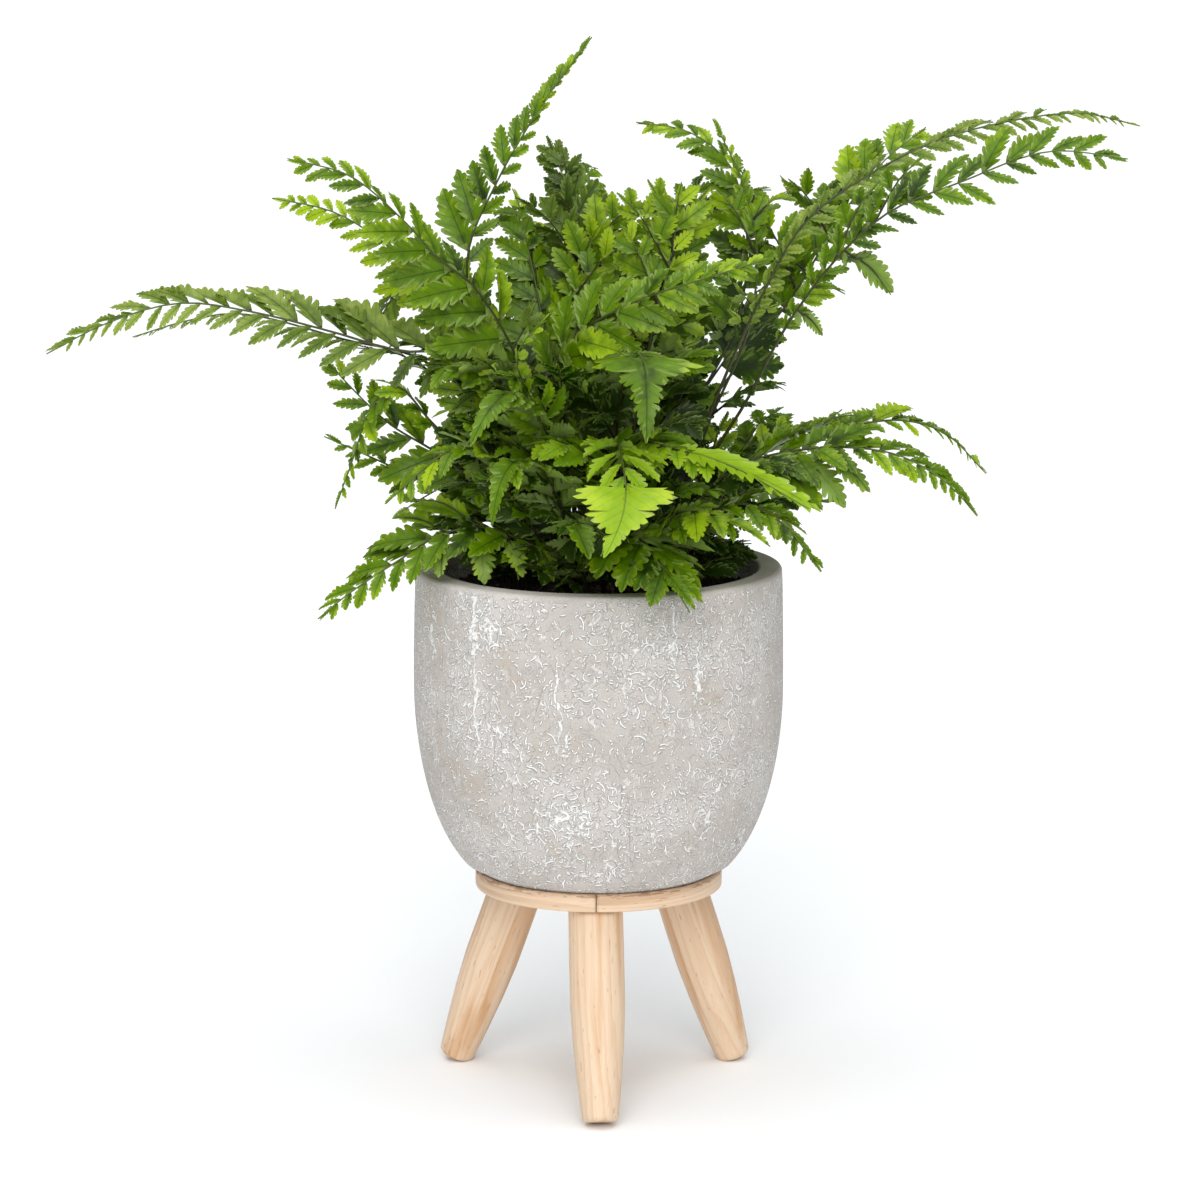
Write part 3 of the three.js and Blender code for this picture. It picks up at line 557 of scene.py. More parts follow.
compost, shader, place = new_finish("compost", Roughness=0.95)
lump = noise(place, 0.35, 4.0, 0.7)
chip = node(place.id_data, "ShaderNodeTexVoronoi", {"Vector": place, "Scale": 0.5}).outputs["Color"]
warm = node(place.id_data, "ShaderNodeSeparateColor", {0: chip}).outputs[0]
colour = layered(
    tint(19, 14, 10), (ramp(lump, 0.3, 0.7), tint(52, 39, 28)),
    (ramp(warm, 0.9, 0.96), tint(92, 66, 42))
)
feed(shader, colour, None, lump, 0.0015)


def grown_mesh(mesh, tree, values):
    """The plain mesh that a Geometry Nodes tree makes from a mesh."""
    seed = add_object(mesh.name, mesh)
    modifier = seed.modifiers.new("grow", "NODES")
    modifier.node_group = tree
    for socket in tree.interface.items_tree:
        if socket.in_out == "INPUT" and socket.name in values:
            modifier[socket.identifier] = values[socket.name]
    graph = bpy.context.evaluated_depsgraph_get()
    made = bpy.data.meshes.new_from_object(seed.evaluated_get(graph))
    made.name = mesh.name
    seed.modifiers.remove(modifier)
    bpy.data.objects.remove(seed)
    return made


def crumb_form():
    """A small angular lump."""
    ball = bmesh.new()
    bmesh.ops.create_icosphere(ball, subdivisions=1, radius=1)
    for corner_of in ball.verts:
        corner_of.co *= 0.75 + 0.35 * abs(math.sin(11 * corner_of.co.x + 7 * corner_of.co.z))
    mesh = bpy.data.meshes.new("crumb")
    ball.to_mesh(mesh)
    ball.free()
    return bpy.data.objects.new("crumb", mesh)


crumbs, given, wanted = group(
    "Geometry", "scattered crumbs",
    {"Geometry": "Geometry", "Crumb": "Object", "Density": "Float", "Small": "Float",
     "Large": "Float", "Above": "Float", "Seed": "Int", "Finish": "Material"},
    {"Geometry": "Geometry"}
)
top_only = node(crumbs, "FunctionNodeBooleanMath", {
    number: node(crumbs, "FunctionNodeCompare", {
        0: axes(node(crumbs, f"GeometryNodeInput{title}").outputs[0])["Z"], 1: limit,
    }).outputs[0]
    for number, (title, limit) in enumerate((("Normal", 0.3), ("Position", given["Above"])))
}).outputs[0]
scatter = node(crumbs, "GeometryNodeDistributePointsOnFaces", {
    "Mesh": given["Geometry"], "Selection": top_only, "Density": given["Density"],
    "Seed": given["Seed"],
})
lump = node(crumbs, "GeometryNodeObjectInfo", {"Object": given["Crumb"]}).outputs["Geometry"]
width = node(crumbs, "FunctionNodeRandomValue", {
    2: given["Small"], 3: given["Large"], "Seed": given["Seed"],
})
spin = node(crumbs, "FunctionNodeRandomValue", {1: (6.28, 6.28, 6.28), "Seed": given["Seed"]},
            data_type="FLOAT_VECTOR")
spread = node(crumbs, "GeometryNodeInstanceOnPoints", {
    "Points": scatter.outputs["Points"], "Instance": lump, "Scale": width.outputs[1],
    "Rotation": spin.outputs[0],
})
joined = crumbs.nodes.new("GeometryNodeJoinGeometry")
solid = node(crumbs, "GeometryNodeRealizeInstances", {0: spread.outputs[0]}).outputs[0]
for piece in (given["Geometry"], solid):
    crumbs.links.new(piece, joined.inputs[0])
finished = node(crumbs, "GeometryNodeSetMaterial", {
    0: joined.outputs[0], "Material": given["Finish"],
})
give(wanted, Geometry=finished.outputs[0])
crumb = crumb_form()
add_piece("potting_soil", grown_mesh(soil_mesh(), crumbs, {
    "Crumb": crumb, "Density": 60000.0, "Small": 0.0005, "Large": 0.0017, "Above": SOIL_TOP - 0.003,
    "Seed": 4, "Finish": compost,
}), "soil")
bpy.data.objects.remove(crumb)


# The fronds. Each is one piece: a dark wiry stem that goes on as the rib, and toothed
# leaflets on both sides of it. A leaflet is a thin blade folded a little along its own vein.

# The leaflets' forms: how many teeth a side, how many of them make one lobe, how deep the
# notches between lobes and between teeth are cut, how large an ear the base has on the side
# towards the frond's tip, and the half widths along the length. A leaflet's own length picks
# one of the first four.
LEAFLET_STATIONS = (0, 0.1, 0.25, 0.45, 0.65, 0.85, 1)
LEAFLET_FORMS = {
    "lobed": (7, 1, 0.36, 0.36, 0.5, (0.02, 0.11, 0.23, 0.24, 0.19, 0.11, 0)),
    "toothed": (6, 1, 0.36, 0.36, 0.35, (0.02, 0.11, 0.21, 0.22, 0.18, 0.1, 0)),
    "short": (5, 1, 0.3, 0.3, 0.2, (0.03, 0.12, 0.21, 0.26, 0.24, 0.15, 0)),
    "small": (3, 1, 0.26, 0.26, 0.1, (0.1, 0.18, 0.24, 0.25, 0.21, 0.13, 0)),
    "end": (7, 1, 0.5, 0.5, 0.0, (0.06, 0.13, 0.15, 0.14, 0.11, 0.06, 0)),
    "ribbon": (14, 2, 0.4, 0.2, 0.0, (0.1, 0.17, 0.18, 0.15, 0.11, 0.06, 0)),
    "fan": (12, 4, 0.6, 0.2, 0.0, (0.5, 0.64, 0.52, 0.36, 0.15, 0.1, 0)),
    "arrow": (15, 3, 0.5, 0.24, 0.0, (0.26, 0.7, 0.34, 0.2, 0.14, 0.08, 0)),
}
LEAFLET_SIZES = ((0.009, "small"), (0.013, "short"), (0.019, "toothed"), (math.inf, "lobed"))
LEAFLET_VARIANTS = 3


def leaflet_form(name, mirror, chance, teeth, lobe, deep, shallow, ear, widths):
    """A leaflet of length 1 along X that faces +Z. Its two faces meet in the toothed edge."""

    def half_width(x, hand):
        width = np.interp(x, LEAFLET_STATIONS, widths)
        if x < 0.3:
            width *= 1 + ear * (1 if hand == mirror else 0.2) * math.sin(math.pi * x / 0.3) ** 2
        return width

    stalk = 0.0 if widths[0] > 0.08 else 0.07
    sweep = 0.48 if widths[0] < 0.4 else 0.12
    notches = [stalk + (1 - stalk) * (k / teeth) ** 0.94 for k in range(teeth)]
    verts, faces, under = [], [], []

    def put(x, y, z):
        verts.append((x, y, z))
        return len(verts) - 1

    def put_edge(x, hand, share, z):
        y = half_width(x, hand) * share
        return put(min(0.99, x + sweep * y), hand * y, z)

    roots, base, apex = [put(0, 0, 0.004), put(0, 0, -0.004)], [], put(1, 0, 0)
    gaps = [b - a for a, b in zip(notches, notches[1:] + [1])]
    veins = []
    for rise in (0.01, -0.01):
        veins.append([put(x - 0.38 * gap, 0, rise) for x, gap in zip(notches[1:], gaps[1:])])
    for hand in (1, -1):
        rim, shoulders, crests, tips = [], [], [], []
        for k, (x, gap) in enumerate(zip(notches, gaps)):
            depth = deep if k % lobe == 0 else shallow
            cut = 0 if k == 0 else depth * chance.uniform(0.7, 1.25)
            swell, wave = chance.uniform(0.86, 1.1), chance.uniform(-0.03, 0.02)
            rim.append(put_edge(x, hand, 1 - cut, 0.004 + wave))
            shoulders.append(put_edge(x + 0.24 * gap, hand, 0.88 * swell, wave))
            crests.append(put_edge(x + 0.58 * gap, hand, 1.04 * swell, wave - 0.006))
            tips.append(put_edge(min(0.99, x + 0.9 * gap), hand, 0.97 * swell, wave - 0.014))
        for side, vein in enumerate(veins):
            row = [roots[side]] + vein + [apex]
            found = []
            for k in range(teeth - 1):
                found.append((row[k], rim[k], shoulders[k], crests[k], tips[k]))
                found.append((row[k], tips[k], rim[k + 1], row[k + 1]))
            found.append((row[-2], rim[-1], shoulders[-1], crests[-1], apex))
            for face in found:
                faces.append(face if (hand < 0) == (side == 0) else face[::-1])
                under.append(float(side))
        base.append(rim[0])
    faces.append((roots[0], base[0], roots[1], base[1]))
    under.append(1.0)
    mesh = smooth_mesh(name, verts, faces)
    sheet = mesh.uv_layers.new(name="blade")
    for loop in mesh.loops:
        x, y, _ = verts[loop.vertex_index]
        sheet.data[loop.index].uv = (x, 0.5 + y)
    store(mesh, "reach", "FLOAT", [x for x, _, _ in verts])
    store(mesh, "across", "FLOAT", [abs(y) for _, y, _ in verts])
    store(mesh, "under", "FLOAT", under, "FACE")
    sides = {}
    for face in mesh.polygons:
        for key in face.edge_keys:
            sides.setdefault(key, set()).add(under[face.index])
    store(mesh, "sharp_edge", "BOOLEAN", [len(sides[edge.key]) > 1 for edge in mesh.edges], "EDGE")
    return bpy.data.objects.new(name, mesh)


leaflet_forms = bpy.data.collections.new("leaflet forms")
for mirror in (1, -1):
    for kind, shape in LEAFLET_FORMS.items():
        for variant in range(LEAFLET_VARIANTS):
            title = f"leaflet_{len(leaflet_forms.objects):02d}_{kind}"
            chance = np.random.default_rng(7 + len(leaflet_forms.objects))
            leaflet_forms.objects.link(leaflet_form(title, mirror, chance, *shape))

# A frond starts as a bare mesh: its ribs are runs of edges, and every leaflet is a loose
# point that knows its form, turn and size, and how it hangs and folds. These marks say so.
MARKS = {"is_rib": "BOOLEAN", "girth": "FLOAT", "form": "INT", "turn": "FLOAT_VECTOR",
         "size": "FLOAT_VECTOR", "hang": "FLOAT_VECTOR", "fold": "FLOAT_VECTOR", "tone": "FLOAT"}
frond_tree, given, wanted = group(
    "Geometry", "frond",
    {"Geometry": "Geometry", "Leaflet forms": "Collection", "Rib sides": "Int",
     "Unevenness": "Float", "Seed": "Int", "Leaf finish": "Material", "Rib finish": "Material"},
    {"Geometry": "Geometry"}
)
marks = {
    title: node(frond_tree, "GeometryNodeInputNamedAttribute", {"Name": title},
                data_type=kind).outputs["Attribute"]
    for title, kind in (*MARKS.items(), ("reach", "FLOAT"), ("across", "FLOAT"))
}
apart = node(frond_tree, "GeometryNodeSeparateGeometry", {
    "Geometry": given["Geometry"], "Selection": marks["is_rib"],
})
run = node(frond_tree, "GeometryNodeMeshToCurve", {"Mesh": apart.outputs["Selection"]}).outputs[0]
round_of = node(frond_tree, "GeometryNodeCurvePrimitiveCircle", {
    "Resolution": given["Rib sides"], "Radius": 1.0,
})
rib = node(frond_tree, "GeometryNodeCurveToMesh", {
    "Curve": run, "Profile Curve": round_of.outputs["Curve"], "Scale": marks["girth"],
    "Fill Caps": True,
})
forms = node(frond_tree, "GeometryNodeCollectionInfo", {
    "Collection": given["Leaflet forms"], "Separate Children": True, "Reset Children": True,
})
leaflets = node(frond_tree, "GeometryNodeInstanceOnPoints", {
    "Points": apart.outputs["Inverted"], "Instance": forms.outputs[0], "Pick Instance": True,
    "Instance Index": marks["form"], "Rotation": marks["turn"], "Scale": marks["size"],
})
tilt = node(frond_tree, "FunctionNodeRandomValue", {
    0: (-1, -1, -1), 1: (1, 1, 1), "Seed": given["Seed"],
}, data_type="FLOAT_VECTOR")
tilted = node(frond_tree, "GeometryNodeRotateInstances", {
    0: leaflets.outputs[0], "Rotation": scaled(tilt.outputs[0], given["Unevenness"]),
})
real = node(frond_tree, "GeometryNodeRealizeInstances", {0: tilted.outputs[0]}).outputs[0]
fall = scaled(marks["hang"], maths("POWER", marks["reach"], 2.0))
bend = vectors("ADD", fall, scaled(marks["fold"], marks["across"]))
hung = node(frond_tree, "GeometryNodeSetPosition", {0: real, "Offset": bend})
both = frond_tree.nodes.new("GeometryNodeJoinGeometry")
for part, title in ((hung, "Leaf finish"), (rib, "Rib finish")):
    inputs = {0: part.outputs[0], "Material": given[title]}
    done = node(frond_tree, "GeometryNodeSetMaterial", inputs)
    frond_tree.links.new(done.outputs[0], both.inputs[0])
give(wanted, Geometry=both.outputs[0])


PATH_STEPS, RIB_STEPS, SPRAY_STEPS, SIDE_STEPS, SPRAY_BARE = 14, 40, 8, 6, 0.16
FROND_GIRTHS, SPRAY_GIRTHS, SIDE_GIRTHS = (0.001, 0.0003), (0.0006, 0.0003), (0.0004, 0.00025)


def along_path(points):
    """A smooth run through the points: a centripetal Catmull-Rom curve, as the solids have."""
    knots = [2 * points[0] - points[1], *points, 2 * points[-1] - points[-2]]
    run = []
    for a, b, c, d in zip(knots, knots[1:], knots[2:], knots[3:]):
        first, second, third = (np.linalg.norm(q - p) ** 0.5 for p, q in ((a, b), (b, c), (c, d)))
        leave = ((b - a) / first - (c - a) / (first + second) + (c - b) / second) * second
        enter = ((c - b) / second - (d - b) / (second + third) + (d - c) / third) * second
        for t in np.arange(PATH_STEPS) / PATH_STEPS:
            run.append(
                b + leave * t + (3 * (c - b) - 2 * leave - enter) * t**2
                + (2 * (b - c) + leave + enter) * t**3
            )
    run.append(points[-1])
    return np.array(run)


class Rib:
    """The middle line of a frond or of a side spray, and how its blade lies there."""

    def __init__(self, points, heading, roll, bare):
        self.run = along_path([np.array(p, float) for p in points])
        steps = np.linalg.norm(np.diff(self.run, axis=0), axis=1)
        self.shares = np.concatenate([[0], np.cumsum(steps)])
        self.length = self.shares[-1]
        self.shares /= self.length
        self.side = np.array([-math.sin(heading), math.cos(heading), 0.0])
        self.roll, self.bare = math.radians(roll), bare

    def place(self, share):
        return np.array([np.interp(share, self.shares, self.run[:, i]) for i in range(3)])

    def lie(self, share):
        """Where the rib is at a share of its length, and its ways along, left and up."""
        along = self.place(min(1, share + 0.01)) - self.place(max(0, share - 0.01))
        along /= np.linalg.norm(along)
        left = self.side - along * self.side.dot(along)
        left /= np.linalg.norm(left)
        turn = self.roll * min(1, share / max(self.bare, 0.01))
        left = left * math.cos(turn) + np.cross(along, left) * math.sin(turn)
        return self.place(share), along, left, np.cross(along, left)


def blade_width(share, start, taper):
    """A blade's half width along the leafy part of its rib, as a share of its greatest."""
    return min(1, start + (3.2 if start > 0.5 else 1.6) * share) * (1 - share) ** taper + 0.1


class Growth:
    """The bare mesh that a frond grows from: its ribs' runs and its leaflets' points."""

    def __init__(self, chance):
        self.places, self.edges, self.chance = [], [], chance
        self.marks = {title: [] for title in MARKS}

    def put(self, place, **marks):
        self.places.append(place)
        for title, kind in MARKS.items():
            plain = (0.0, 0.0, 0.0) if kind == "FLOAT_VECTOR" else 0
            self.marks[title].append(marks.get(title, plain))
        return len(self.places) - 1

    def add_rib(self, rib, girths, steps):
        last = None
        for share in np.linspace(0, 1, steps):
            girth = girths[0] + (girths[1] - girths[0]) * share**0.7
            here = self.put(rib.place(share), is_rib=True, girth=girth, tone=share)
            if last is not None:
                self.edges.append((last, here))
            last = here

    def add_spray(self, middle, bent, end, heading, bare=SPRAY_BARE, steps=SIDE_STEPS):
        """The rib of a side spray, for its blade to be added."""
        spray = Rib([middle, bent, end], heading, self.chance.uniform(-25, 25), bare)
        self.add_rib(spray, SPRAY_GIRTHS, steps)
        return spray

    def add_leaflet(self, root, run, normal, length, form, wide, tone, tip=None):
        run = run / np.linalg.norm(run)
        normal = normal - run * normal.dot(run)
        normal /= np.linalg.norm(normal)
        across = np.cross(normal, run)
        turn = Matrix((run, across, normal)).transposed().to_euler()
        sag = 0.1 + 0.16 * self.chance.random()
        hang = -normal * sag * length - np.array([0, 0, 0.05 * length]) if tip is None else tip
        fold = normal * length * (0.1 + 0.45 * self.chance.random())
        self.put(
            root, form=form, turn=tuple(turn), size=(length, length * wide, length),
            hang=tuple(hang), fold=tuple(fold), tone=tone,
        )

    def form(self, kind, hand):
        """The number of one of a kind's variants, with its ear towards the frond's tip."""
        first = list(LEAFLET_FORMS).index(kind) + len(LEAFLET_FORMS) * (hand > 0)
        return first * LEAFLET_VARIANTS + int(self.chance.integers(LEAFLET_VARIANTS))

    def add_blade(self, rib, half, tone, pitch=11.5, wide=1.02, lean=0.0, start=0.62, taper=0.8,
                  compound=0, end="end", last=9, closing=24):
        """The leaflets on both sides of a rib, pitch apart, and the one of the form end that
        ends it, last long, both in millimetres. lean makes the left ones longer and the right
        ones shorter, and closing, in degrees, turns the last ones towards the tip. The first
        ones, compound in number, are sprays of their own."""
        leafy = rib.length * (1 - rib.bare)
        pitch, last = pitch / 1000, min(0.9, last / 1000 / leafy)
        for hand in (1, -1):
            share, done = 0.0 if hand > 0 else 0.45 * pitch / leafy, 0
            while share < 1 - 0.85 * last:
                spot = rib.bare + (1 - rib.bare) * share
                middle, along, left, face = rib.lie(spot)
                jitter = self.chance.normal(0, 1, 4)
                forward = math.radians(36 + closing * share + 3.5 * jitter[0])
                droop = math.radians(-8 + 8 * jitter[1])
                out = left * hand * math.cos(droop) + face * math.sin(droop)
                run = out * math.cos(forward) + along * math.sin(forward)
                normal = np.cross(along, out) * hand
                length = half * 1.12 * blade_width(share, start, taper) * (1 + 0.07 * jitter[2])
                length *= 1 + lean * hand
                shade = tone + 0.2 * share + 0.14 * jitter[2]
                if done < compound:
                    reach = middle + run * length * 1.25 - np.array([0, 0, 0.2 * length])
                    heading = math.atan2(run[1], run[0])
                    bent = (middle + reach) / 2 + normal * 0.08 * length
                    side = Rib([middle, bent, reach], heading, self.chance.normal(0, 18), SPRAY_BARE)
                    side.side = along * hand
                    self.add_rib(side, SIDE_GIRTHS, SIDE_STEPS)
                    self.add_blade(side, length * 0.55, shade, 500 * length, 1.2, last=8)
                else:
                    kind = next(kind for most, kind in LEAFLET_SIZES if length <= most)
                    self.add_leaflet(middle - face * 0.0004, run, normal, length,
                                     self.form(kind, hand), wide * (1 + 0.1 * jitter[3]), shade)
                share += pitch * (0.3 + 0.7 * blade_width(share, start, taper)) / leafy
                done += 1
        middle, along, _, face = rib.lie(rib.bare + (1 - rib.bare) * (1 - last))
        tip = rib.place(1) - middle
        length = np.linalg.norm(tip)
        self.add_leaflet(
            middle, along, face, length * 1.03, self.form(end, 1), 1.0, tone + 0.2,
            tuple(tip - along * length),
        )

    def mesh(self, name):
        mesh = bpy.data.meshes.new(name)
        mesh.from_pydata(self.places, self.edges, [])
        for title, kind in MARKS.items():
            store(mesh, title, kind, self.marks[title])
        return mesh


# The leaf finishes. Satin green blades with a dark middle vein, faint side veins and a paler
# underside. Young fronds are bright and old ones dull.
leaf_colours, given, wanted = group(
    "Shader", "leaf colours",
    {"Blade": "Vector", "Place": "Vector", "Tone": "Float", "Under": "Float",
     "Dark": "Color", "Middle": "Color", "Light": "Color", "Vein": "Color"},
    {"Colour": "Color", "Relief": "Float"}
)
reach, across, _ = axes(given["Blade"])
off = positive(minus(across, 0.5))
width = minus(0.02, times(reach, 0.015))
middle = ramp(off, times(width, 0.35), width, 1.0, 0.0)
beat = maths("FRACT", times(minus(reach, times(off, 0.9)), 7.0))
side = ramp(positive(minus(beat, 0.5)), 0.0, 0.1, 1.0, 0.0)
tone = plus(given["Tone"], times(minus(noise(given["Place"], 0.16), 0.5), 0.8))
# Partly painted shade: each leaflet is darker along its vein and at its base and lighter towards its
# edges and tip; the paler rim is the blade's own colour, the darker base and middle are painted
# shade for depth.
tone = plus(tone, minus(plus(times(off, 0.9), times(reach, 0.25)), 0.22))
colour = layered(
    given["Dark"], (ramp(tone, 0.0, 0.5), given["Middle"]), (ramp(tone, 0.5, 1.0), given["Light"]),
    (times(side, 0.25), given["Vein"]), (times(middle, 0.6), given["Vein"]),
    (times(given["Under"], 0.35), tint(150, 172, 96))
)
give(wanted, Colour=colour, Relief=times(plus(times(side, 0.4), middle), -1.0))


def leaf_finish(name, *colours):
    finish, shader, place = new_finish(
        name, Specular_IOR_Level=0.2, Subsurface_Weight=0.15, Subsurface_Scale=0.0015,
        Subsurface_Radius=(0.6, 1.0, 0.1)
    )
    blade = node(place.id_data, "ShaderNodeUVMap", uv_map="blade").outputs[0]
    made = placed(
        leaf_colours, Blade=blade, Place=place, Tone=stored(place, "tone"),
        Under=stored(place, "under"), **dict(zip(("Dark", "Middle", "Light", "Vein"), colours))
    )
    rough = ramp(noise(place, 0.5), 0.3, 0.7, 0.32, 0.48)
    feed(shader, made["Colour"], rough, made["Relief"], 0.0002, 0.6)
    return finish


LEAF_FINISHES = {
    slot: leaf_finish(name, *[tint(*colour) for colour in colours])
    for slot, name, *colours in (
        ("leaf", "leaf_green", (31, 51, 1), (85, 117, 2), (155, 184, 22), (36, 54, 8)),
        ("old_leaf", "leaf_old", (50, 70, 8), (84, 107, 26), (130, 148, 62), (36, 50, 14)),
        ("young_leaf", "leaf_young", (92, 128, 6), (132, 166, 16), (166, 192, 40), (88, 106, 22)),
    )
}
rib_finish, shader, place = new_finish("wiry_rib", Roughness=0.35, Specular_IOR_Level=0.3)
speckle = noise(mapped(place, (1, 1, 0.2)), 1.2)
share = plus(stored(place, "tone"), times(minus(speckle, 0.5), 0.4))
colour = layered(
    tint(38, 30, 18), (ramp(share, 0.05, 0.5), tint(56, 62, 24)),
    (ramp(share, 0.5, 1.0), tint(84, 108, 34))
)
feed(shader, colour, None, speckle, 0.0001, 0.5)

# A stem starts just above the soil and has a root below it. The side sprays on the bare stem
# start over the pot's rim. Their colour is painted darker than the frond's own leaflets, more so
# lower down, and so is that of the two low sprays by the soil: painted shade for the crown's
# shaded inside.
STEM_START, STEM_ROOT, STEM_GIRTH = 1000 * SOIL_TOP + 2.5, 1000 * SOIL_TOP - 9, 0.0012
SPRAY_SPACING, SPRAY_LEVEL, SPRAY_PAINTED_SHADE, SINGLE_LEAFLET = 0.018, 0.246, 0.65, 0.009
frond_numbers = itertools.count()


def frond(name, x, y, half, bare, roll, heading, *path, scale=1.0, tone=None, slot="leaf",
          sprays=None, extra=(), **habit):
    """Grows a frond from its foot's x and y, its half width, the bare share of its rib, its
    roll and heading in degrees, and its path from the soil to the tip, in millimetres. scale
    widens it, and sprays counts the side sprays on the bare stem. extra places some on the
    rib, by its share, the point where they end and their half width. One with a half width
    under SINGLE_LEAFLET is a single long toothed leaflet. habit is add_blade's."""
    number = next(frond_numbers)
    chance = np.random.default_rng(50 + number)
    growth = Growth(chance)
    points = np.array([(x, y, STEM_START), *path]) / 1000
    compass = math.atan2(points[-1][1] - points[0][1], points[-1][0] - points[0][0])
    if heading is not None:
        compass = math.radians(heading)
    rib = Rib(points, compass, roll, bare)
    root = growth.put(np.array([x, y, STEM_ROOT]) / 1000, is_rib=True, girth=STEM_GIRTH)
    growth.add_rib(rib, FROND_GIRTHS, RIB_STEPS)
    growth.edges.append((root, root + 1))
    tone = 0.25 + 0.3 * chance.random() if tone is None else tone
    growth.add_blade(rib, scale * half / 1000, tone, **habit)
    sprays = min(6, round(rib.length * bare / SPRAY_SPACING)) if sprays is None else sprays
    ends = [(share, np.array(end) / 1000, tone, wide / 1000) for share, *end, wide in extra]
    for k in range(sprays):
        share = bare * (0.34 + 0.62 * (k + 0.5) / sprays)
        middle = rib.place(share)
        outward = math.atan2(middle[1], middle[0]) + chance.uniform(-1.3, 1.3)
        rise, reach = chance.uniform(0.1, 0.8), chance.uniform(0.036, 0.058)
        if middle[2] > SPRAY_LEVEL:
            end = middle + np.array(polar(math.cos(rise), outward, math.sin(rise))) * reach
            # painted shade: the sprays are darker than the frond, and the lower ones darker still
            shade = tone - SPRAY_PAINTED_SHADE + 0.4 * k / sprays
            ends.append((share, end, shade, chance.uniform(0.018, 0.026)))
    for share, end, shade, wide in ends:
        middle = rib.place(share)
        way = end - middle
        reach = np.linalg.norm(way)
        bent = middle + way * 0.55 + np.array([0, 0, 0.12 * reach])
        steep = abs(way[2]) > 0.6 * reach
        heading = math.pi / 2 if steep else math.atan2(way[1], way[0])
        single = wide < SINGLE_LEAFLET
        spray = growth.add_spray(
            middle, bent, end, heading, 0.02 if single else SPRAY_BARE, SPRAY_STEPS
        )
        end_form = dict(end="lobed", last=900 * reach) if single else {}
        growth.add_blade(spray, wide, shade, wide=1.05, **end_form)
    for k in range(2):
        middle = rib.place(0.05 + 0.04 * k)
        outward = math.atan2(middle[1], middle[0]) + chance.uniform(-1.2, 1.2)
        reach = min(chance.uniform(0.022, 0.04), 0.07 - math.hypot(middle[0], middle[1]))
        end = middle + np.array(polar(1, outward, chance.uniform(0.2, 0.6))) * reach
        spray = growth.add_spray(
            middle, (middle + end) / 2 + np.array([0, 0, 0.004]), end, outward
        )
        # painted shade: the low sprays by the soil are darker than the frond
        growth.add_blade(spray, chance.uniform(0.013, 0.019), tone - SPRAY_PAINTED_SHADE, pitch=10)
    mesh = grown_mesh(growth.mesh(f"fern_{name}"), frond_tree, {
        "Leaflet forms": leaflet_forms, "Rib sides": 6, "Unevenness": 0.12, "Seed": number,
        "Leaf finish": LEAF_FINISHES[slot], "Rib finish": rib_finish,
    })
    for spent in (*MARKS, "reach", "across"):
        if spent != "tone" and spent in mesh.attributes:
            mesh.attributes.remove(mesh.attributes[spent])
    add_piece(f"fern_{name}", mesh, f"frond_{name}")


frond("left_long", -34, -4, 27, 0.34, -38, None, (-47, -6, 334), (-88, -9, 338), (-119, -11, 347),
      (-154, -13, 356), (-185, -15, 360), (-216, -18, 352), (-244, -20, 338), scale=1.22, pitch=13,
      wide=0.7, lean=-0.28, tone=0.6, slot="old_leaf", sprays=2)
frond("left_under", -30, 16, 15, 0.55, 4, None, (-72, 26, 324), (-117, 35, 338), (-163, 45, 348),
      (-187, 54, 344), (-214, 64, 335), scale=0.95, pitch=11, wide=0.7, sprays=1, slot="old_leaf")
frond("upper_left", -16, 2, 30, 0.42, -66, None, (-31, -3, 320), (-54, -8, 365), (-71, -13, 380),
      (-87, -18, 398), (-109, -23, 417), (-136, -28, 425), pitch=14.6, wide=0.88, lean=0.15,
      compound=1, tone=0.45)
frond("upper_left_pale", -22, 24, 24, 0.45, -62, None, (-45, 32, 324), (-72, 39, 360),
      (-104, 47, 385), (-122, 54, 394), (-149, 62, 399), wide=0.85, tone=0.7)
frond("top", -8, 14, 20, 0.46, 0, 90, (-29, 17, 280), (-53, 21, 335), (-59, 24, 376),
      (-46, 27, 409), (-24, 31, 446), (-3, 34, 474), scale=1.25, pitch=12.8, wide=0.95, lean=0.32,
      taper=1.1, tone=0.35, sprays=1, closing=44)
frond("top_dark", -4, 28, 27, 0.48, 0, 90, (-9, 38, 300), (-9, 47, 354), (-11, 56, 394),
      (-24, 66, 427), scale=1.35, wide=0.85, tone=0.1, slot="old_leaf",
      extra=((0.8, -23, 50, 404, 15), (0.86, -18, 62, 424, 13), (0.7, -37, 46, 401, 15)))
frond("top_behind", -14, 38, 25, 0.46, 0, None, (-18, 58, 316), (-27, 78, 369), (-40, 98, 400),
      slot="young_leaf")
frond("pale_edge", -2, 6, 26, 0.50, -10, 70, (-11, 20, 298), (-15, 33, 347), (-6, 46, 372),
      (13, 60, 392), compound=2, tone=0.6, extra=((0.8, 19, 40, 400, 22), (0.75, 1, 35, 390, 22),
      (0.7, 18, 30, 384, 20)))
frond("curled_tip", 16, 20, 16, 0.46, -30, 150, (41, 26, 302), (63, 33, 347), (67, 39, 385),
      (59, 45, 416), (41, 52, 430), (17, 58, 434), scale=1.35, compound=1, taper=0.6, lean=0.05,
      tone=0.3, sprays=2)
frond("small_upright", 24, 10, 13, 0.56, 0, 90, (48, 13, 299), (67, 16, 344), (71, 20, 380),
      (64, 23, 411), (51, 26, 438), scale=0.95, compound=2, tone=0.5, sprays=1, closing=40,
      extra=((0.78, 87, 20, 406, 15), (0.7, 53, 24, 407, 20)))
frond("young_crinkled", 6, 10, 22, 0.54, 0, 80, (16, 11, 300), (25, 12, 349), (33, 13, 383),
      (29, 14, 408), compound=4, tone=0.6, extra=((0.8, 8, 14, 406, 20), (0.86, 22, 15, 412, 18),
      (0.84, 37, 12, 411, 20), (0.82, 50, 16, 409, 18), (0.7, 10, 14, 391, 20)))
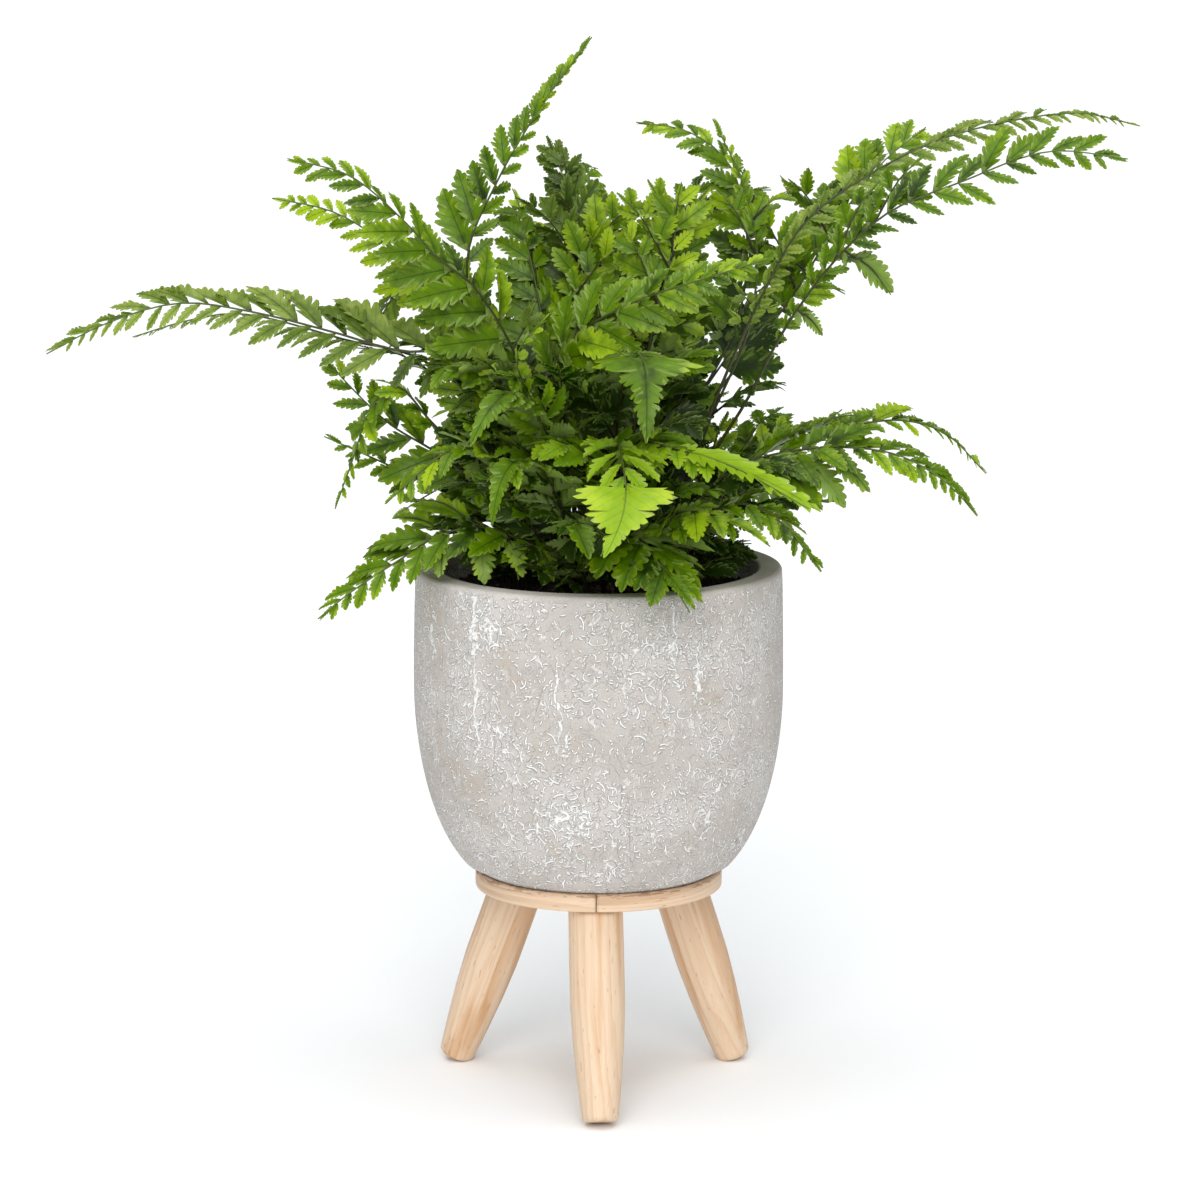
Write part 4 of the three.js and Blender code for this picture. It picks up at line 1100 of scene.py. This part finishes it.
frond("right_high", 22, -8, 24, 0.36, 24, None, (52, -4, 315), (72, 0, 360), (92, 4, 394),
      (116, 8, 412), (147, 12, 428), (179, 16, 437), (215, 20, 441), (242, 24, 435),
      pitch=9.5, wide=0.85, lean=0.2, start=0.12, tone=0.6, slot="old_leaf", sprays=0)
frond("right_long", 34, -2, 25, 0.40, 60, None, (45, -6, 279), (66, -9, 316), (83, -12, 349),
      (106, -16, 381), (128, -20, 401), (158, -23, 414), (197, -26, 428), (231, -30, 425),
      scale=1.05, pitch=14, wide=0.76, start=0.1, taper=0.48, lean=0.22, tone=0.3, sprays=0,
      extra=((0.56, 129, -18, 364, 8), (0.45, 99, -15, 346, 8), (0.49, 109, -15, 364, 8),
      (0.62, 144, -5, 424, 18), (0.54, 124, -5, 413, 18)))
frond("right_behind", 24, 20, 24, 0.44, 48, None, (46, 30, 301), (69, 39, 332), (90, 49, 358),
      (108, 59, 387), (129, 68, 414), (150, 78, 430), scale=1.1, taper=0.4, start=0.3, lean=0.25,
      compound=1, sprays=0, extra=((0.72, 86, 50, 409, 22), (0.6, 73, 45, 393, 22),
      (0.64, 65, 48, 382, 18)))
frond("right_mid_back", 42, 12, 20, 0.34, 20, None, (46, 17, 267), (75, 22, 289), (105, 27, 297),
      (137, 32, 301), (158, 37, 294), (177, 42, 275), scale=1.15, wide=0.95, lean=0.4, compound=1,
      extra=((0.38, 88, 25, 300, 13), (0.5, 118, 28, 304, 14), (0.2, 58, 12, 308, 18)))
frond("right_mid", 42, -10, 26, 0.30, 26, None, (41, -15, 267), (65, -21, 289), (89, -26, 296),
      (111, -32, 298), (133, -37, 295), (154, -43, 283), (166, -48, 270), scale=1.2, wide=0.95,
      lean=0.25, taper=1.05, tone=0.3, extra=((0.5, 108, -38, 272, 8), (0.56, 119, -36, 279, 8),
      (0.42, 98, -38, 272, 8)))
frond("right_low", 38, -26, 20, 0.34, 18, None, (38, -36, 257), (60, -45, 275), (79, -54, 269),
      (97, -64, 248), scale=1.1, wide=0.95, lean=0.22, tone=0.25)
frond("right_under", 44, 4, 13, 0.36, 16, None, (48, 6, 255), (66, 7, 263), (86, 8, 268),
      (110, 10, 267))
frond("front_right_bright", 16, -16, 26, 0.36, 0, None, (10, -32, 270), (16, -58, 303),
      (33, -84, 305), (58, -104, 300), (89, -120, 285), scale=0.9, pitch=10, end="ribbon", last=62,
      slot="young_leaf")
frond("front_yellow", 2, -24, 30, 0.46, 0, None, (6, -38, 276), (8, -72, 305), (10, -106, 304),
      (11, -130, 290), (1, -145, 269), scale=0.8, pitch=14, end="fan", last=35, slot="young_leaf")
frond("front_high", 8, -10, 27, 0.48, 4, None, (7, -18, 286), (10, -46, 326), (14, -86, 347),
      (20, -116, 345), (23, -132, 319), scale=0.7, pitch=10, end="arrow", last=38, tone=0.15)
frond("front_rim", 12, -38, 27, 0.27, 0, None, (10, -52, 258), (18, -74, 264), (29, -94, 253),
      (39, -107, 238), scale=1.3, pitch=13, wide=1.3, end="ribbon", last=22)
frond("left_rim", -28, -28, 28, 0.26, -26, None, (-17, -32, 248), (-35, -37, 258), (-52, -41, 264),
      (-70, -45, 261), (-87, -49, 251), (-109, -54, 237), (-123, -58, 226), scale=1.15, pitch=14,
      wide=1.0, lean=-0.22, tone=0.42, extra=((0.54, -69, -55, 245, 8), (0.43, -50, -54, 240, 8),
      (0.34, -35, -56, 243, 8), (0.25, -19, -52, 243, 8), (0.43, -81, -32, 275, 8),
      (0.53, -91, -36, 267, 8)))
frond("left_drooping", -36, -6, 10, 0.50, -20, None, (-44, -9, 271), (-75, -11, 307),
      (-90, -14, 323), (-101, -17, 313), (-109, -19, 291), (-117, -22, 269), scale=1.4, pitch=10,
      wide=1.2, sprays=1)
frond("left_small", -40, 6, 17, 0.42, -60, None, (-44, 8, 264), (-71, 10, 288), (-95, 12, 303),
      (-124, 14, 332), scale=1.5, pitch=15, wide=0.9, tone=0.4, sprays=1)
frond("left_mid", -40, 18, 13, 0.42, -40, None, (-47, 22, 257), (-77, 27, 272), (-99, 32, 282),
      (-125, 36, 293), scale=1.2, wide=0.95, compound=2)
frond("left_broad", -32, -18, 24, 0.30, -10, None, (-35, -26, 269), (-49, -34, 295),
      (-63, -42, 299), (-78, -50, 290), (-93, -58, 277), compound=1)
frond("left_upright", -26, -8, 22, 0.42, -10, 100, (-35, -10, 285), (-57, -11, 316),
      (-68, -12, 333), (-71, -14, 356), compound=2)
frond("centre_right", -10, -12, 28, 0.42, 52, 0, (-13, -20, 295), (-20, -30, 330), (-9, -38, 349),
      (17, -48, 365), (44, -56, 375), (74, -62, 385), pitch=13, wide=0.98, tone=0.45, compound=1)
frond("front_left_high", -14, -24, 24, 0.36, -8, None, (-17, -34, 275), (-26, -56, 316),
      (-38, -78, 328), (-49, -92, 319), (-58, -100, 307), end="ribbon", last=40, tone=0.2)
frond("front_left", -18, -34, 24, 0.30, 0, None, (-15, -46, 264), (-23, -66, 291), (-35, -84, 300),
      (-42, -96, 289), (-46, -102, 275), end="ribbon", last=34, tone=0.25)
frond("front_small", -4, -42, 20, 0.28, 0, None, (-5, -52, 251), (-10, -70, 271), (-9, -90, 272),
      (-4, -106, 263), end="lobed", last=24, tone=0.2)
frond("front_right", 26, -34, 24, 0.24, 6, None, (25, -42, 254), (32, -56, 271), (46, -70, 275),
      (61, -80, 271), (74, -86, 263), scale=1.1, pitch=12, end="ribbon", last=22, lean=-0.1)
frond("centre_bright", -12, -20, 15, 0.50, -20, 30, (-17, -28, 283), (-32, -44, 325),
      (-35, -54, 343), (-20, -62, 362), slot="young_leaf")
frond("centre_dark", 2, -4, 27, 0.46, 0, 90, (-3, -10, 294), (-4, -20, 326), (-1, -30, 363),
      tone=0.05, slot="old_leaf")

# The far side's fronds stand in three rows, one over the other, and stray a little.
FAR_HABITS = {
    "back_high_1": dict(extra=((0.7, 49, 60, 412, 20), (0.8, 79, 70, 402, 20))),
    "back_high_2": dict(scale=0.8),
}
for row, count, start, step, foot, half, bare, reach, rise, crest, tip in (
    ("back_high", 3, 56, 34, 20, 28, 0.42, 112, 345, 402, 392),
    ("back_mid", 5, 61, 17, 37, 30, 0.34, 138, 322, 362, 318),
    ("back_low", 6, 49, 17, 47, 27, 0.28, 136, 280, 292, 246),
):
    for k in range(count):
        turn = start + step * k
        stray = math.sin(2.4 * k + start)
        far, lift = reach * (1 + 0.1 * stray), 10 * stray
        path = []
        for radius, compass, height in (
            (foot, turn, 0),
            (foot + 0.22 * far, turn, rise + lift),
            (0.74 * far, turn + 4 * stray, crest + lift),
            (far, turn + 7 * stray, tip + lift),
        ):
            path.append(polar(radius, math.radians(compass), height))
        name = f"{row}_{k + 1}"
        frond(name, *path[0][:2], half, bare, 12 * stray, None, *path[1:], compound=1,
              **FAR_HABITS.get(name, {}))
for form in list(leaflet_forms.objects):
    bpy.data.objects.remove(form)
bpy.data.collections.remove(leaflet_forms)


# The stage. A plain pale floor without an end, soft studio light, and the camera, in front
# and a little above.
floor_mesh = bpy.data.meshes.new("studio_floor")
floor_mesh.from_pydata([(-40, -40, 0), (40, -40, 0), (40, 40, 0), (-40, 40, 0)], [], [(0, 1, 2, 3)])
studio_floor = add_object("studio_floor", floor_mesh)
paper, _, _ = new_finish(
    "floor_paper", Roughness=0.9, Base_Color=(0.965, 0.98, 0.995, 1), Specular_IOR_Level=0.0
)
floor_mesh.materials.append(paper)

world = bpy.data.worlds.new("studio")
bpy.context.scene.world = world
world.use_nodes = True
background = world.node_tree.nodes["Background"].inputs
background["Color"].default_value = (0.95, 0.98, 1, 1)
background["Strength"].default_value = 0.24
for name, way, softness, power in (
    ("top_light", (0.0, 0.15, -1), 75, 2.15),
    ("front_light", (0.05, 1, -0.55), 38, 1.75),
):
    light = bpy.data.lights.new(name, "SUN")
    light.angle, light.energy = math.radians(softness), power
    lamp = add_object(name, light)
    lamp.location = Vector(way) * -3
    lamp.rotation_euler = Vector(way).to_track_quat("-Z", "Y").to_euler()

CAMERA_PITCH, CAMERA_DISTANCE, CAMERA_AIM = math.radians(10.33), 2.146, 0.2239
view = bpy.data.cameras.new("camera")
view.lens, view.sensor_width = 143.0, 36.0
camera = add_object("camera", view)
camera.location = (0.00061, -CAMERA_DISTANCE * math.cos(CAMERA_PITCH),
                   CAMERA_AIM + CAMERA_DISTANCE * math.sin(CAMERA_PITCH))
camera.rotation_euler = (math.pi / 2 - CAMERA_PITCH, 0, 0)
bpy.context.scene.camera = camera
bpy.context.scene.view_settings.view_transform = "Standard"
